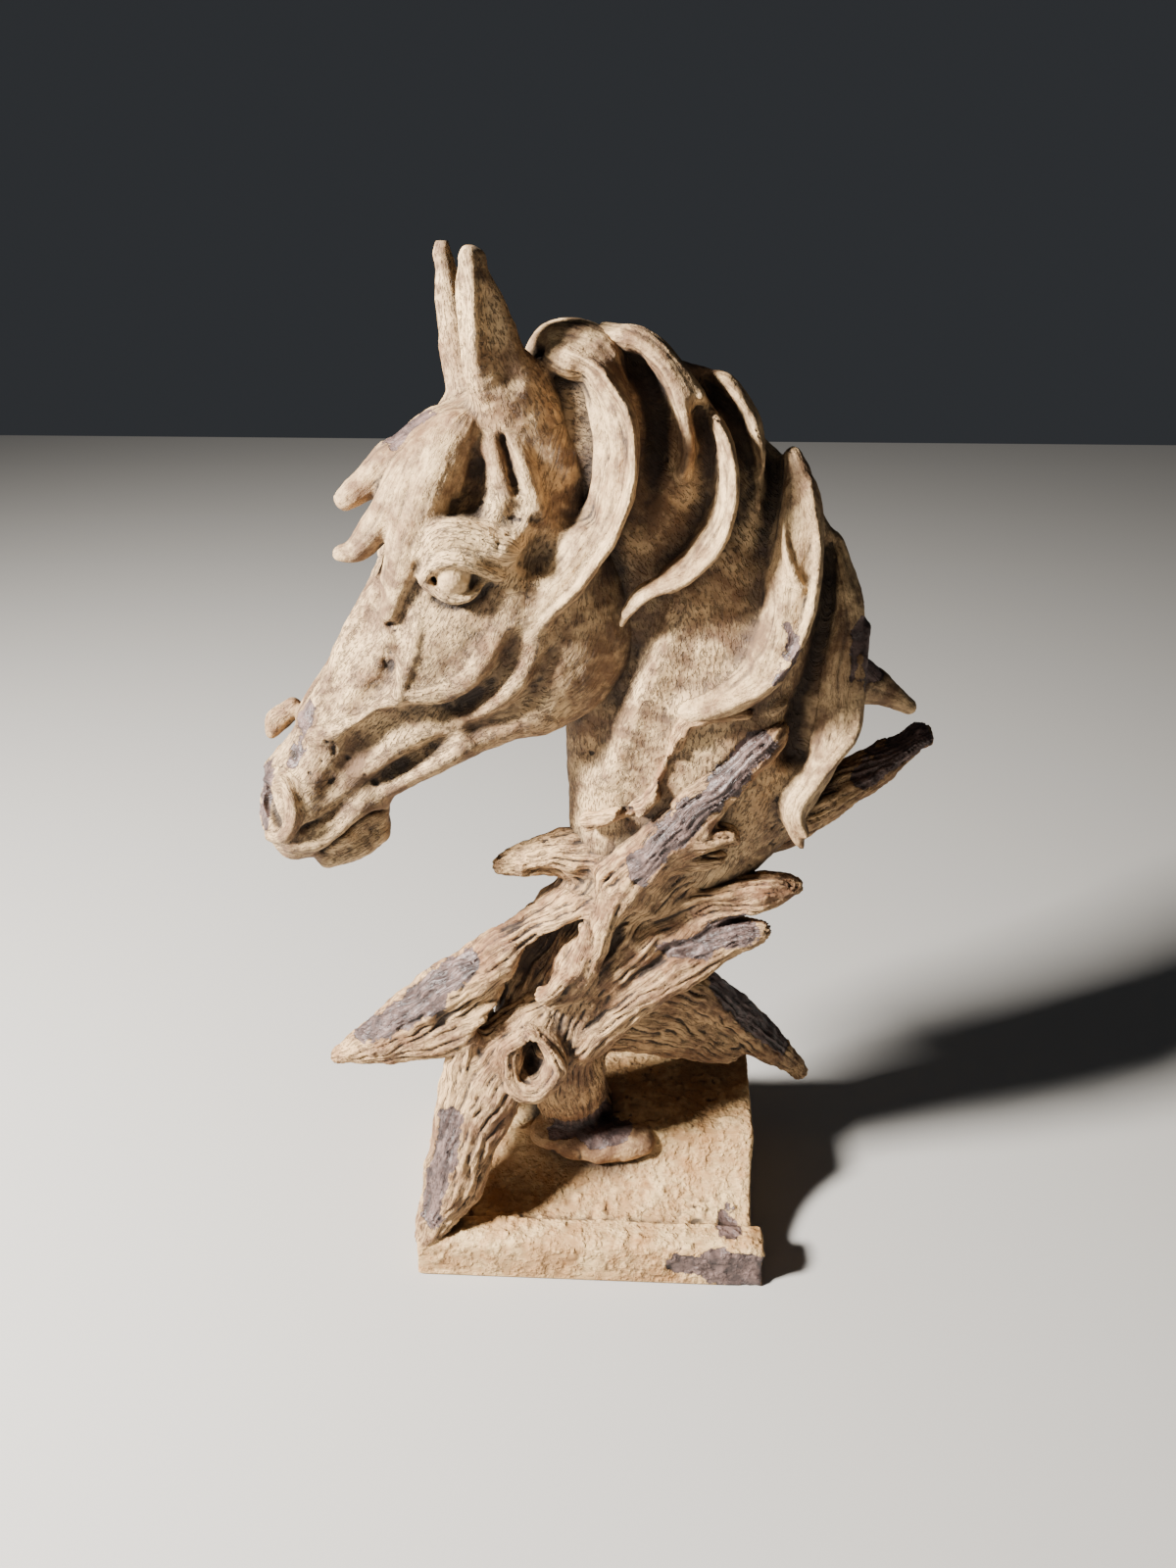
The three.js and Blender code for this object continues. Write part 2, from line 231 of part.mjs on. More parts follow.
const woodStrokes = [
  // Trunk from the neck to the foot, and the valley and the twisted ridge down its front
  form(2.2, [12, 0, 45.7, 9.4, 7], [6.7, -1, 37.8, 7.4, 6.4], [1.3, -2, 29.6, 6.3, 5.6],
    [-1.9, -2.4, 19.6, 5.1, 4.8], [-3.9, -2, 10.5, 4.5, 4.4], [-3, 0.2, 2.3, 4, 4]),
  form(1.6, [-4, -1.4, 8.6, 4.3, 4.2], [-2.8, 0.8, 1.2, 4.1, 3.8], [-2.1, 1.6, -2.1, 4.5, 3.8]),
  hollow(1.1, [11.9, -9, 39.5, 0.8, 1.4], [6.7, -9.2, 37.4, 1.1, 2.4], [3.9, -9.2, 33, 1.2, 2.8],
    [2, -9, 28.7, 1.1, 2.6], [0.6, -8.6, 23.1, 0.9, 2]),
  form(1.1, [13.1, -6, 40.3, 1.2, 2], [7.4, -6.8, 39.6, 1.4, 2], [3.3, -7.1, 36.9, 1.3, 2],
    [1.7, -7.3, 32.9, 1.2, 2], [0.2, -7.3, 29.1, 1.2, 2], [-1.5, -7, 24.9, 1.2, 1.8],
    [-4.3, -6.8, 21.6, 1.1, 1.6]),
  // Branch lying up across the neck's foot, with the torn bark under it
  form(1.1, [3.7, -6.4, 37.3, 3.2, 2.8], [8.1, -7.4, 43.5, 2.8, 2.6], [13.1, -7.8, 49.5, 2.1, 2.2],
    [17, -7.6, 53.9, 1.5, 1.8], [18.1, -7.4, 55.1, 1.2, 1.5]),
  form(0.8, [5.3, -7.4, 39.4, 2.1, 1.8], [9.8, -8, 42.9, 2, 1.8], [13.6, -7.8, 43.9, 1.2, 1.4],
    [14.7, -7.6, 43.1, 0.5, 0.9]),
  // Branch that points up and back behind the mane
  form(1.6, [9.1, 0, 37.3, 4.4, 4.4], [17.2, 1, 40.2, 3.7, 4.2], [25, 2.4, 43.6, 2.9, 3.4],
    [31.3, 3.6, 47.2, 1.9, 2.4], [35.5, 4.6, 49.7, 1.3, 1.8]),
  // Forked shelf of wood with its dished top
  form(1.1, [-0.6, -4, 22.2, 2.9, 3.4], [7.1, -4.4, 30, 2.8, 3], [13.4, -4.8, 33.9, 2.4, 2.6],
    [19.1, -5, 35.7, 1.8, 2], [21.8, -5, 36, 0.7, 1]),
  form(1.1, [-0.6, -4, 15.4, 3, 3.4], [5, -4.8, 21.8, 3.1, 3], [10.4, -5.4, 26.7, 2.6, 2.6],
    [15.7, -5.8, 29.9, 1.8, 2], [18, -6, 30.8, 1.3, 1.6]),
  hollow(0.8, [6, -7.6, 31.2, 1.5, 1.4], [10.8, -7.6, 32.8, 1.9, 1.6], [15.6, -7.4, 34.6, 1.3, 1.2]),
  // Long limb that reaches out to the front, and its thicker underside
  form(1.3, [3.7, -4, 34.8, 2.9, 3.2], [-3.9, -4.6, 31, 2.5, 3], [-11.1, -5.2, 25.8, 3, 3],
    [-17.9, -5.8, 20.3, 3.4, 3], [-24.1, -6.2, 15.6, 2.4, 2.4], [-30, -6.4, 12.2, 0.8, 0.9]),
  form(1.1, [-9.5, -6.4, 20.9, 1.8, 1.8], [-15.2, -6.8, 17.1, 2.5, 2], [-21.1, -6.8, 14.3, 1.8, 1.6],
    [-26.9, -6.6, 12.4, 0.8, 0.9]),
  // Leg that comes down over the plinth's front slope to the lip
  form(1.3, [-6.6, -4.6, 16.8, 3.4, 3.4], [-11.4, -6, 11.1, 4.4, 3.6], [-14.2, -8.6, 3.8, 4.1, 3.4],
    [-16.6, -11.4, -2.6, 3.3, 2.8], [-19, -13.4, -8, 1.7, 1.8]),
  form(0.8, [-14.2, -6.4, 15.8, 1.8, 2], [-16.2, -7.6, 8.8, 1.7, 2], [-17.7, -9.6, 1.5, 1.6, 2],
    [-19.5, -12.8, -6.4, 1.1, 1.4]),
  // Back wall of the long cavity, the cavity and its rolled edge
  form(1.6, [-3.6, -0.6, 28.6, 3.9, 3], [-7.1, -1, 21.9, 4.4, 3.2], [-7.8, -1.4, 14.3, 4, 3.4]),
  hollow(0.8, [-1.1, -8.2, 31.6, 0.9, 2.6], [-3.4, -8, 29.6, 1.6, 4.4], [-5.9, -8, 27, 2.2, 5.2],
    [-7.5, -8, 23.7, 2, 5.2], [-9.7, -8.4, 20.4, 1.4, 4.2], [-12.4, -8.8, 17.9, 1, 2.8]),
  form(0.5, [-0.5, -7.2, 31.2, 0.8, 1.5], [-1.5, -7.5, 27.3, 0.9, 1.6], [-3.7, -7.7, 24.4, 0.9, 1.6],
    [-5.5, -7.8, 22.8, 0.8, 1.4]),
  // Knot with its hole, and the gap between leg and foot
  form(0.8, [-7.1, -7.4, 17.3, 1, 1.6], [-9.3, -7.8, 15.6, 1, 1.6], [-9.9, -8.2, 13, 1, 1.7],
    [-8.4, -8.6, 10.5, 1, 1.6], [-5.8, -8.5, 10.8, 1.3, 1.8], [-4.1, -8, 13.4, 1.4, 2],
    [-5, -7.4, 16.2, 1.1, 1.7], [-7.1, -7.4, 17.3, 1, 1.6]),
  hollow(0.5, [-7, -9, 16, 1, 3], [-7.4, -9.2, 12.8, 1.2, 3.2]),
  hollow(0.8, [-8.7, -7, 4.1, 1.7, 3], [-10, -9, 0.9, 1.9, 3.4]),
  // Broken stub under the throat and the hollow below it
  form(1.1, [0.9, -2.8, 38.6, 3.2, 3.2], [-4.3, -3.4, 38.3, 2.4, 2.6], [-8.2, -3.8, 37.5, 1.5, 1.8],
    [-10.3, -4, 37, 0.8, 1]),
  hollow(0.8, [-6.9, -6.2, 37.3, 0.7, 1.6], [-5.2, -6.6, 37.1, 1, 2], [-3.5, -6.6, 36.6, 0.8, 1.8]),
  // Root that runs back over the plinth's far right edge, and the wood under it
  form(1.3, [3.8, 2.4, 17.7, 3.1, 3.4], [11.2, 5.4, 15, 3.3, 3.4], [17.5, 8, 8.7, 3, 3],
    [22.9, 10, 2.4, 2.2, 2.4], [26.9, 11.4, -2.5, 1.1, 1.3]),
  form(1.6, [1.5, 2.2, 12.5, 4.8, 3.2], [8.9, 4.8, 9.6, 4.2, 3.2], [16.4, 8, 4.6, 2.9, 2.8]),
  // Bonding compound round the foot
  form(1.1, [-6.1, -2.4, -1.9, 1.8, 2.2], [-2.1, -3, -2.7, 2.3, 2.5], [2.4, -3.1, -2.9, 2.2, 2.5],
    [6.2, -2.7, -2.2, 1.6, 2]),
  // Ragged lower edge of the skin, and the holes under it
  form(0.5, [-0.5, -6.6, 44.5, 0.8, 1.4], [3.6, -7.4, 45.9, 0.8, 1.4], [7.2, -8, 49.5, 0.8, 1.3],
    [9.3, -8.6, 56.8, 0.7, 1.2], [15, -8.6, 57.8, 0.7, 1.2]),
  hollow(0.5, [7.9, -8.6, 49.1, 1.1, 1.5], [8.4, -8.8, 52.3, 0.9, 1.3]),
  hollow(0.5, [3.6, -8, 46, 0.9, 1], [2.8, -8, 44.2, 0.8, 1]),
];

// A stroke's stations joined by a smooth curve through them
function spine(rows) {
  const samples = [];
  for (let i = 0; i + 1 < rows.length; i += 1) {
    const [from, to] = [rows[i], rows[i + 1]];
    const before = rows[i - 1] ?? from;
    const after = rows[i + 2] ?? to;
    for (let step = 0; step < SPAN_STEPS; step += 1) {
      const t = step / SPAN_STEPS;
      samples.push(from.map((p, n) => 0.5 * (2 * p + (to[n] - before[n]) * t
        + (2 * before[n] - 5 * p + 4 * to[n] - after[n]) * t * t
        + (3 * p - before[n] - 3 * to[n] + after[n]) * t * t * t)));
    }
  }
  samples.push(rows.at(-1));
  return samples;
}

// Short straight lengths of a stroke, each with its own directions and radii
function segments(rows, place, side) {
  const samples = spine(rows).map(([x, y, z, a, b]) => ({
    at: place(x, y, z),
    a: a * FIGURE_HEIGHT / 100,
    b: b * FIGURE_HEIGHT / 100,
  }));
  return samples.slice(1).map((end, i) => {
    const start = samples[i];
    const along = end.at.clone().sub(start.at);
    const length = along.length();
    along.normalize();
    const deep = side.clone().addScaledVector(along, -side.dot(along)).normalize();
    const wide = along.clone().cross(deep);
    return { start, end, along, wide, deep, length };
  });
}

// Signed distance to one length of a stroke, with an oval section and round ends
function segmentDistance({ start, end, along, wide, deep, length }, x, y, z) {
  const [dx, dy, dz] = [x - start.at.x, y - start.at.y, z - start.at.z];
  const run = dx * along.x + dy * along.y + dz * along.z;
  const t = Math.min(Math.max(run / length, 0), 1);
  const a = start.a + (end.a - start.a) * t;
  const b = start.b + (end.b - start.b) * t;
  const u = (dx * wide.x + dy * wide.y + dz * wide.z) / a;
  const v = (dx * deep.x + dy * deep.y + dz * deep.z) / b;
  const w = (run - t * length) / a;
  const rho = Math.sqrt(u * u + v * v + w * w);
  if (rho < TINY) return -Math.min(a, b);
  return rho * (rho - 1) / Math.sqrt((u * u + w * w) / (a * a) + v * v / (b * b));
}

const softMin = (p, q, k) => {
  const h = Math.max(k - Math.abs(p - q), 0);
  return Math.min(p, q) - h * h / (4 * k);
};

// Block of space holding the signed distance to the figure's skin
class Field {
  constructor(low, high, cell) {
    this.low = low;
    this.cell = cell;
    this.size = ['x', 'y', 'z'].map((axis) => Math.ceil((high[axis] - low[axis]) / cell) + 1);
    this.step = [1, this.size[0], this.size[0] * this.size[1]];
    this.values = new Float32Array(this.step[2] * this.size[2]).fill(FAR_CELLS * cell);
  }

  // Joins or cuts a stroke in the part of the block that it can touch
  lay({ fillet, rows, cut }, place, side) {
    const lengths = segments(rows, place, side);
    const blend = fillet * FIGURE_HEIGHT / 100;
    const box = new THREE.Box3();
    lengths.forEach(({ start, end }) => [start, end].forEach(({ at, a, b }) => {
      const reach = Math.max(a, b) + blend + this.cell;
      box.expandByPoint(at.clone().addScalar(reach)).expandByPoint(at.clone().addScalar(-reach));
    }));
    const [from, to] = [box.min, box.max].map((corner) => ['x', 'y', 'z'].map((axis, n) => {
      const index = Math.round((corner[axis] - this.low[axis]) / this.cell);
      return Math.min(Math.max(index, 1), this.size[n] - 2);
    }));
    for (let k = from[2]; k <= to[2]; k += 1) {
      const z = this.low.z + k * this.cell;
      for (let j = from[1]; j <= to[1]; j += 1) {
        const y = this.low.y + j * this.cell;
        for (let i = from[0]; i <= to[0]; i += 1) {
          const x = this.low.x + i * this.cell;
          let distance = Infinity;
          for (const length of lengths) {
            distance = Math.min(distance, segmentDistance(length, x, y, z));
          }
          const here = i + j * this.step[1] + k * this.step[2];
          const old = this.values[here];
          this.values[here] = cut ? -softMin(-old, distance, blend) : softMin(old, distance, blend);
        }
      }
    }
  }

  // Fills the few places where the skin would meet itself along an edge or at a point
  closeDiagonals() {
    const [sx, sy, sz] = this.step;
    const squares = [[sx, sy], [sy, sz], [sx, sz]];
    const corners = [0, sx, sy, sx + sy, sz, sx + sz, sy + sz, sx + sy + sz];
    const inside = (n) => this.values[n] < 0;
    const fill = (n) => {
      this.values[n] = -FILL_SHARE * this.cell;
      return true;
    };
    const mend = (n) => {
      const count = corners.reduce((sum, offset) => sum + inside(n + offset), 0);
      if (count === 0 || count === 8) return false;
      for (const [p, q] of squares) {
        const corner = inside(n);
        if (corner === inside(n + p + q) && corner !== inside(n + p) && corner !== inside(n + q)) {
          return fill(corner ? n + p : n);
        }
      }
      if (count !== 2 && count !== 6) return false;
      for (let c = 0; c < 4; c += 1) {
        const ends = [n + corners[c], n + corners[7 - c]];
        if (count === 2 && ends.every(inside)) return fill(n + corners[c ^ 1]);
        if (count === 6 && !ends.some(inside)) return fill(ends[0]);
      }
      return false;
    };
    let changed = true;
    while (changed) {
      changed = false;
      for (let n = 0; n + corners[7] < this.values.length; n += 1) {
        if (mend(n)) changed = true;
      }
    }
  }

  // Skin as one vertex in each cell that it crosses, joined in squares
  skin() {
    const [sx, sy, sz] = this.step;
    const { values, size, low, cell } = this;
    const edges = [];
    for (let c = 0; c < 8; c += 1) {
      for (let axis = 0; axis < 3; axis += 1) {
        if (!(c & (1 << axis))) edges.push([c, c | (1 << axis), axis]);
      }
    }
    const offset = (c) => (c & 1 ? sx : 0) + (c & 2 ? sy : 0) + (c & 4 ? sz : 0);
    const numbers = new Int32Array(values.length).fill(-1);
    const points = [];
    for (let k = 0; k < size[2] - 1; k += 1) {
      for (let j = 0; j < size[1] - 1; j += 1) {
        for (let i = 0; i < size[0] - 1; i += 1) {
          const here = i + j * sy + k * sz;
          const sum = [0, 0, 0];
          let crossings = 0;
          for (const [from, to, axis] of edges) {
            const [p, q] = [values[here + offset(from)], values[here + offset(to)]];
            if ((p < 0) !== (q < 0)) {
              const t = p / (p - q);
              for (let n = 0; n < 3; n += 1) sum[n] += n === axis ? t : (from >> n) & 1;
              crossings += 1;
            }
          }
          if (crossings) {
            numbers[here] = points.length;
            points.push([low.x + (i + sum[0] / crossings) * cell, low.y + (j + sum[1] / crossings) * cell,
              low.z + (k + sum[2] / crossings) * cell]);
          }
        }
      }
    }
    const faces = [];
    const steps = [[sx, sy, sz], [sy, sz, sx], [sz, sx, sy]];
    for (let n = sz; n + sz < values.length; n += 1) {
      for (const [p, q, r] of steps) {
        if ((values[n] < 0) !== (values[n + p] < 0)) {
          const ring = [n, n - q, n - q - r, n - r].map((m) => numbers[m]);
          if (values[n] >= 0) ring.reverse();
          faces.push([ring[0], ring[1], ring[2]], [ring[0], ring[2], ring[3]]);
        }
      }
    }
    return { points, faces };
  }
}

// Largest of the separate skins; the others are specks and bubbles
function mainSkin({ points, faces }) {
  const owner = points.map((_, n) => n);
  const root = (n) => {
    let top = n;
    while (owner[top] !== top) top = owner[top];
    while (owner[n] !== top) [owner[n], n] = [top, owner[n]];
    return top;
  };
  faces.forEach(([p, q, r]) => {
    owner[root(p)] = root(q);
    owner[root(q)] = root(r);
  });
  const counts = new Map();
  points.forEach((_, n) => counts.set(root(n), (counts.get(root(n)) ?? 0) + 1));
  const main = [...counts].reduce((best, entry) => (entry[1] > best[1] ? entry : best))[0];
  const kept = new Map();
  points.forEach((_, n) => { if (root(n) === main) kept.set(n, kept.size); });
  return {
    points: [...kept.keys()].map((n) => points[n]),
    faces: faces.filter(([p]) => kept.has(p)).map((face) => face.map((n) => kept.get(n))),
  };
}

// Heap of possible joins, the cheapest first
class Queue {
  constructor() {
    this.items = [];
  }

  push(item) {
    const { items } = this;
    let n = items.length;
    items.push(item);
    while (n > 0) {
      const parent = (n - 1) >> 1;
      if (items[parent].cost <= item.cost) break;
      items[n] = items[parent];
      n = parent;
    }
    items[n] = item;
  }

  pop() {
    const { items } = this;
    const top = items[0];
    const last = items.pop();
    let n = 0;
    while (2 * n + 1 < items.length) {
      let child = 2 * n + 1;
      if (child + 1 < items.length && items[child + 1].cost < items[child].cost) child += 1;
      if (last.cost <= items[child].cost) break;
      items[n] = items[child];
      n = child;
    }
    if (items.length) items[n] = last;
    return top;
  }
}

const minus = (p, q) => [p[0] - q[0], p[1] - q[1], p[2] - q[2]];
const dot = (p, q) => p[0] * q[0] + p[1] * q[1] + p[2] * q[2];
const cross = (p, q) => [p[1] * q[2] - p[2] * q[1], p[2] * q[0] - p[0] * q[2], p[0] * q[1] - p[1] * q[0]];

// Fewer triangles where the skin is nearly flat: the two ends of an edge become
// one, at the point that stays nearest to the planes of the faces round them
function simplify({ points, faces }, target) {
  const around = points.map(() => new Set());
  const planes = points.map(() => new Float64Array(10));
  const version = new Uint32Array(points.length);
  const normal = (p, q, r) => cross(minus(q, p), minus(r, p));
  faces.forEach((face, f) => {
    const n = normal(...face.map((v) => points[v]));
    const area = Math.sqrt(dot(n, n));
    const d = -dot(n, points[face[0]]);
    const terms = [n[0] * n[0], n[0] * n[1], n[0] * n[2], n[0] * d, n[1] * n[1],
      n[1] * n[2], n[1] * d, n[2] * n[2], n[2] * d, d * d];
    face.forEach((v) => {
      around[v].add(f);
      terms.forEach((term, m) => { planes[v][m] += term / Math.max(area, TINY); });
    });
  });
  const error = (q, [x, y, z]) => q[0] * x * x + 2 * q[1] * x * y + 2 * q[2] * x * z + 2 * q[3] * x
    + q[4] * y * y + 2 * q[5] * y * z + 2 * q[6] * y + q[7] * z * z + 2 * q[8] * z + q[9];
  const best = (q, middle) => {
    const [a, b, c] = [[q[0], q[1], q[2]], [q[1], q[4], q[5]], [q[2], q[5], q[7]]];
    const [bc, ca, ab] = [cross(b, c), cross(c, a), cross(a, b)];
    const size = q[0] + q[4] + q[7];
    const whole = dot(a, bc);
    if (whole < FLAT_LIMIT * size * size * size) return middle;
    return [0, 1, 2].map((n) => -(q[3] * bc[n] + q[6] * ca[n] + q[8] * ab[n]) / whole);
  };
  const queue = new Queue();
  const offer = (p, q) => {
    const sum = planes[p].map((term, n) => term + planes[q][n]);
    const span = minus(points[p], points[q]);
    const middle = points[p].map((value, n) => (value + points[q][n]) / 2);
    let point = best(sum, middle);
    const shift = minus(point, middle);
    if (dot(shift, shift) > dot(span, span)) point = middle;
    const cost = error(sum, point) + EDGE_WEIGHT * dot(span, span);
    queue.push({ cost, p, q, point, stamp: version[p] + version[q] });
  };
  const neighbours = (v) => {
    const found = new Set();
    around[v].forEach((f) => faces[f].forEach((w) => found.add(w)));
    found.delete(v);
    return found;
  };
  points.forEach((_, p) => neighbours(p).forEach((q) => { if (p < q) offer(p, q); }));
  const turns = (v, other, point) => [...around[v]].some((f) => {
    const face = faces[f];
    if (face.includes(other)) return false;
    const before = normal(...face.map((w) => points[w]));
    const after = normal(...face.map((w) => (w === v ? point : points[w])));
    return dot(before, after) < LEAST_FACING * Math.sqrt(dot(before, before) * dot(after, after));
  });
  let count = faces.length;
  while (count > target && queue.items.length) {
    const { p, q, point, stamp } = queue.pop();
    if (!around[p].size || !around[q].size || version[p] + version[q] !== stamp) continue;
    const nearQ = neighbours(q);
    if ([...neighbours(p)].filter((v) => nearQ.has(v)).length !== 2) continue;
    if (turns(p, q, point) || turns(q, p, point)) continue;
    points[p] = point;
    planes[p] = planes[p].map((term, n) => term + planes[q][n]);
    around[q].forEach((f) => {
      const face = faces[f];
      if (face.includes(p)) {
        face.forEach((v) => around[v].delete(f));
        faces[f] = null;
        count -= 1;
      } else {
        face[face.indexOf(q)] = p;
        around[p].add(f);
      }
    });
    around[q].clear();
    version[p] += 1;
    neighbours(p).forEach((v) => offer(p, v));
  }
  return { points, faces: faces.filter(Boolean) };
}

const solidOf = ({ points, faces }) => new wasm.Manifold(new wasm.Mesh({
  numProp: 3,
  vertProperties: new Float32Array(points.flat()),
  triVerts: new Uint32Array(faces.flat()),
}));

// Bar along x with the given outline in y and z, spread evenly about x = 0; its
// width may differ between the bottom and the height
function bar(outline, width, bottomWidth = width, height = 1) {
  const geometry = new THREE.ExtrudeGeometry(outline, { depth: 1, bevelEnabled: false });
  const axes = new THREE.Matrix4().makeBasis(
    new THREE.Vector3(0, 1, 0), new THREE.Vector3(0, 0, 1), new THREE.Vector3(1, 0, 0));
  geometry.applyMatrix4(axes);
  const place = geometry.attributes.position;
  for (let n = 0; n < place.count; n += 1) {
    const share = THREE.MathUtils.clamp(place.getZ(n) / height, 0, 1);
    place.setX(n, (place.getX(n) - 0.5) * THREE.MathUtils.lerp(bottomWidth, width, share));
  }
  geometry.deleteAttribute('normal').deleteAttribute('uv');
  const merged = mergeVertices(geometry);
  return new wasm.Manifold(new wasm.Mesh({
    numProp: 3,
    vertProperties: merged.attributes.position.array,
    triVerts: merged.index.array,
  }));
}

// Plinth, or with grow the space round it that the figure leaves free
function plinth(grow = 0) {
  const front = -PLINTH_DEPTH / 2 - grow;
  const back = PLINTH_DEPTH / 2 + grow;
  const top = PLINTH_HEIGHT + grow;
  const lipTop = LIP_HEIGHT + grow;
  const groove = lipTop - GROOVE_DEPTH;
  const lipBack = front + LIP_DEPTH;
  const slopeFoot = lipBack + GROOVE_DEPTH;
  const slopeHead = slopeFoot + SLOPE_RUN;
  const crest = top - TOP_FALL;
  const body = new THREE.Shape();
  body.moveTo(back, -grow);
  body.lineTo(back, top - BACK_ROUND);
  body.absarc(back - BACK_ROUND, top - BACK_ROUND, BACK_ROUND, 0, Math.PI / 2);
  body.lineTo(slopeHead, crest);
  body.quadraticCurveTo((slopeHead + slopeFoot) / 2 + SLOPE_HOLLOW, (crest + groove) / 2 - 2 * SLOPE_HOLLOW,
    slopeFoot, groove);
  body.lineTo(lipBack, groove);
  body.lineTo(lipBack, -grow);
  const lip = new THREE.Shape();
  lip.moveTo(slopeFoot, -grow);
  lip.lineTo(slopeFoot, groove);
  lip.lineTo(lipBack, lipTop);
  lip.absarc(front + LIP_ROUND, lipTop - LIP_ROUND, LIP_ROUND, Math.PI / 2, Math.PI);
  lip.lineTo(front, -grow);
  const block = bar(body, PLINTH_WIDTH + 2 * grow, FOOT_WIDTH + 2 * grow, top);
  return block.add(bar(lip, PLINTH_WIDTH + 2 * LIP_OVERHANG + 2 * grow));
}

// Figure: every stroke laid on or cut in turn, then trimmed to sit on the plinth
function figure() {
  const unit = FIGURE_HEIGHT / 100;
  const turn = THREE.MathUtils.degToRad(HEAD_TURN);
  const forwards = new THREE.Vector3(-Math.cos(turn), -Math.sin(turn), 0);
  const sideways = new THREE.Vector3(Math.sin(turn), -Math.cos(turn), 0);
  const ofHead = (f, w, z) => new THREE.Vector3(HEAD_AXIS, 0, z).addScaledVector(forwards, f)
    .addScaledVector(sideways, w).multiplyScalar(unit).setZ(z * unit + PLINTH_HEIGHT);
  const ofBody = (x, y, z) => new THREE.Vector3(x, y, z).multiplyScalar(unit).setZ(z * unit + PLINTH_HEIGHT);
  const across = new THREE.Vector3(0, 1, 0);
  const inBody = (strokes) => strokes.map((stroke) => [stroke, ofBody, across]);
  const inHead = (strokes) => strokes.map((stroke) => [stroke, ofHead, sideways]);
  const [, greatLock] = greatLockStrokes;
  const jobs = [
    ...inBody([...neckStrokes, ...[greatLock, ...maneLocks].map(farLock), ...maneLocks]),
    ...inHead(faceStrokes),
    ...inBody(greatLockStrokes),
    ...inHead(forelockStrokes),
    ...inBody([...maneDetails, ...woodStrokes]),
  ];
  const box = new THREE.Box3();
  jobs.forEach(([{ rows }, place]) => rows.forEach(([x, y, z, a, b]) => {
    const reach = Math.max(a, b) * unit + 2 * CELL;
    box.expandByPoint(place(x, y, z).addScalar(reach)).expandByPoint(place(x, y, z).addScalar(-reach));
    box.expandByPoint(place(x, -y, z).addScalar(reach));
  }));
  const field = new Field(box.min, box.max, CELL);
  jobs.forEach(([stroke, place, side]) => {
    field.lay(stroke, place, side);
    if (stroke.mirrored) field.lay(stroke, (x, y, z) => place(x, -y, z), side);
  });
  field.closeDiagonals();
  const skin = simplify(mainSkin(field.skin()), FIGURE_TRIANGLES);
  const pieces = solidOf(skin).subtract(plinth(SEAT_GAP)).decompose();
  return pieces.reduce((best, piece) => (piece.volume() > best.volume() ? piece : best));
}

function mesh(name, solid, colour, roughness) {
  const { vertProperties, triVerts } = solid.getMesh();
  const geometry = new THREE.BufferGeometry();
  geometry.setAttribute('position', new THREE.BufferAttribute(vertProperties, 3));
  geometry.setIndex(new THREE.BufferAttribute(triVerts, 1));
  geometry.computeVertexNormals();
  const material = new THREE.MeshStandardMaterial({ color: colour, roughness, metalness: 0 });
  const part = new THREE.Mesh(geometry, material);
  part.name = name;
  return part;
}

const statue = new THREE.Group();
statue.add(mesh('horse_head', figure(), '#b89a72', 0.8));
statue.add(mesh('plinth', plinth(), '#bda27c', 0.9));
export default statue;
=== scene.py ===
"""Dresses the horse head statue: a cast head on a driftwood root, standing on a gritty plinth.

The statue stands as it does in the CAD: the horse looks along -X and its left side
faces -Y. The sculpting is in millimetres, and each mesh is turned into metres at its end.
"""
import logging
import math
from dataclasses import dataclass, field
from enum import Enum

import bpy
import numpy as np
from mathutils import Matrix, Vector


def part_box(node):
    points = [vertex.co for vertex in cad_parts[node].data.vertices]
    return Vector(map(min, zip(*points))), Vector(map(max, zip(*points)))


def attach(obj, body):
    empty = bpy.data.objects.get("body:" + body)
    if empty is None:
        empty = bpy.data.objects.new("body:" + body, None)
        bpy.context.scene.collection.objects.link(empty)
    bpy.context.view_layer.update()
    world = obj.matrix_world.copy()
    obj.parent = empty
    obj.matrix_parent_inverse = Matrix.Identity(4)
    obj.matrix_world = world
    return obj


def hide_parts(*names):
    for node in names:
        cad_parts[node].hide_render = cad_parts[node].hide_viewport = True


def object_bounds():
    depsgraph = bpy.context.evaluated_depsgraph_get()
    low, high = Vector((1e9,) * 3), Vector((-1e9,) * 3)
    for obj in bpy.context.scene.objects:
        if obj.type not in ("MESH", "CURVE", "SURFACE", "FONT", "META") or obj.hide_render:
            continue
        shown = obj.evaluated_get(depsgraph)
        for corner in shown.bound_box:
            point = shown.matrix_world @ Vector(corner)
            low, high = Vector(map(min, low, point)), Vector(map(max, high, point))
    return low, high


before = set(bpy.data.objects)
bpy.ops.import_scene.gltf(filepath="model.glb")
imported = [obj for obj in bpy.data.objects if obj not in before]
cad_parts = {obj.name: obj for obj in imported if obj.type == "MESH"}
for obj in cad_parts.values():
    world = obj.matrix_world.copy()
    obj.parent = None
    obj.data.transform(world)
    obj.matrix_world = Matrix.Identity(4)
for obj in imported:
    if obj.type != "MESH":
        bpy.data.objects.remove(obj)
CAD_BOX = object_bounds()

LOG = logging.getLogger("statue")

MM = 0.001
FIGURE_HEIGHT = 372.0
PLINTH_HEIGHT = 49.0
HEAD_TURN = math.radians(14)
HEAD_AXIS = 2.2
FAR_LOCK_DROP = 4.0
SPAN_STEPS = 5
UNIT = FIGURE_HEIGHT / 100
FAR_OUT = 99.0
MAIN_SHARE = 0.02
FIGURE_CELL = 0.9
PLINTH_CELL = 1.0
ROOM_CELL = 1.6
ROOM_MARGIN = 12
BOX_MARGIN = 0.1
MOST_TRIANGLES = 190_000


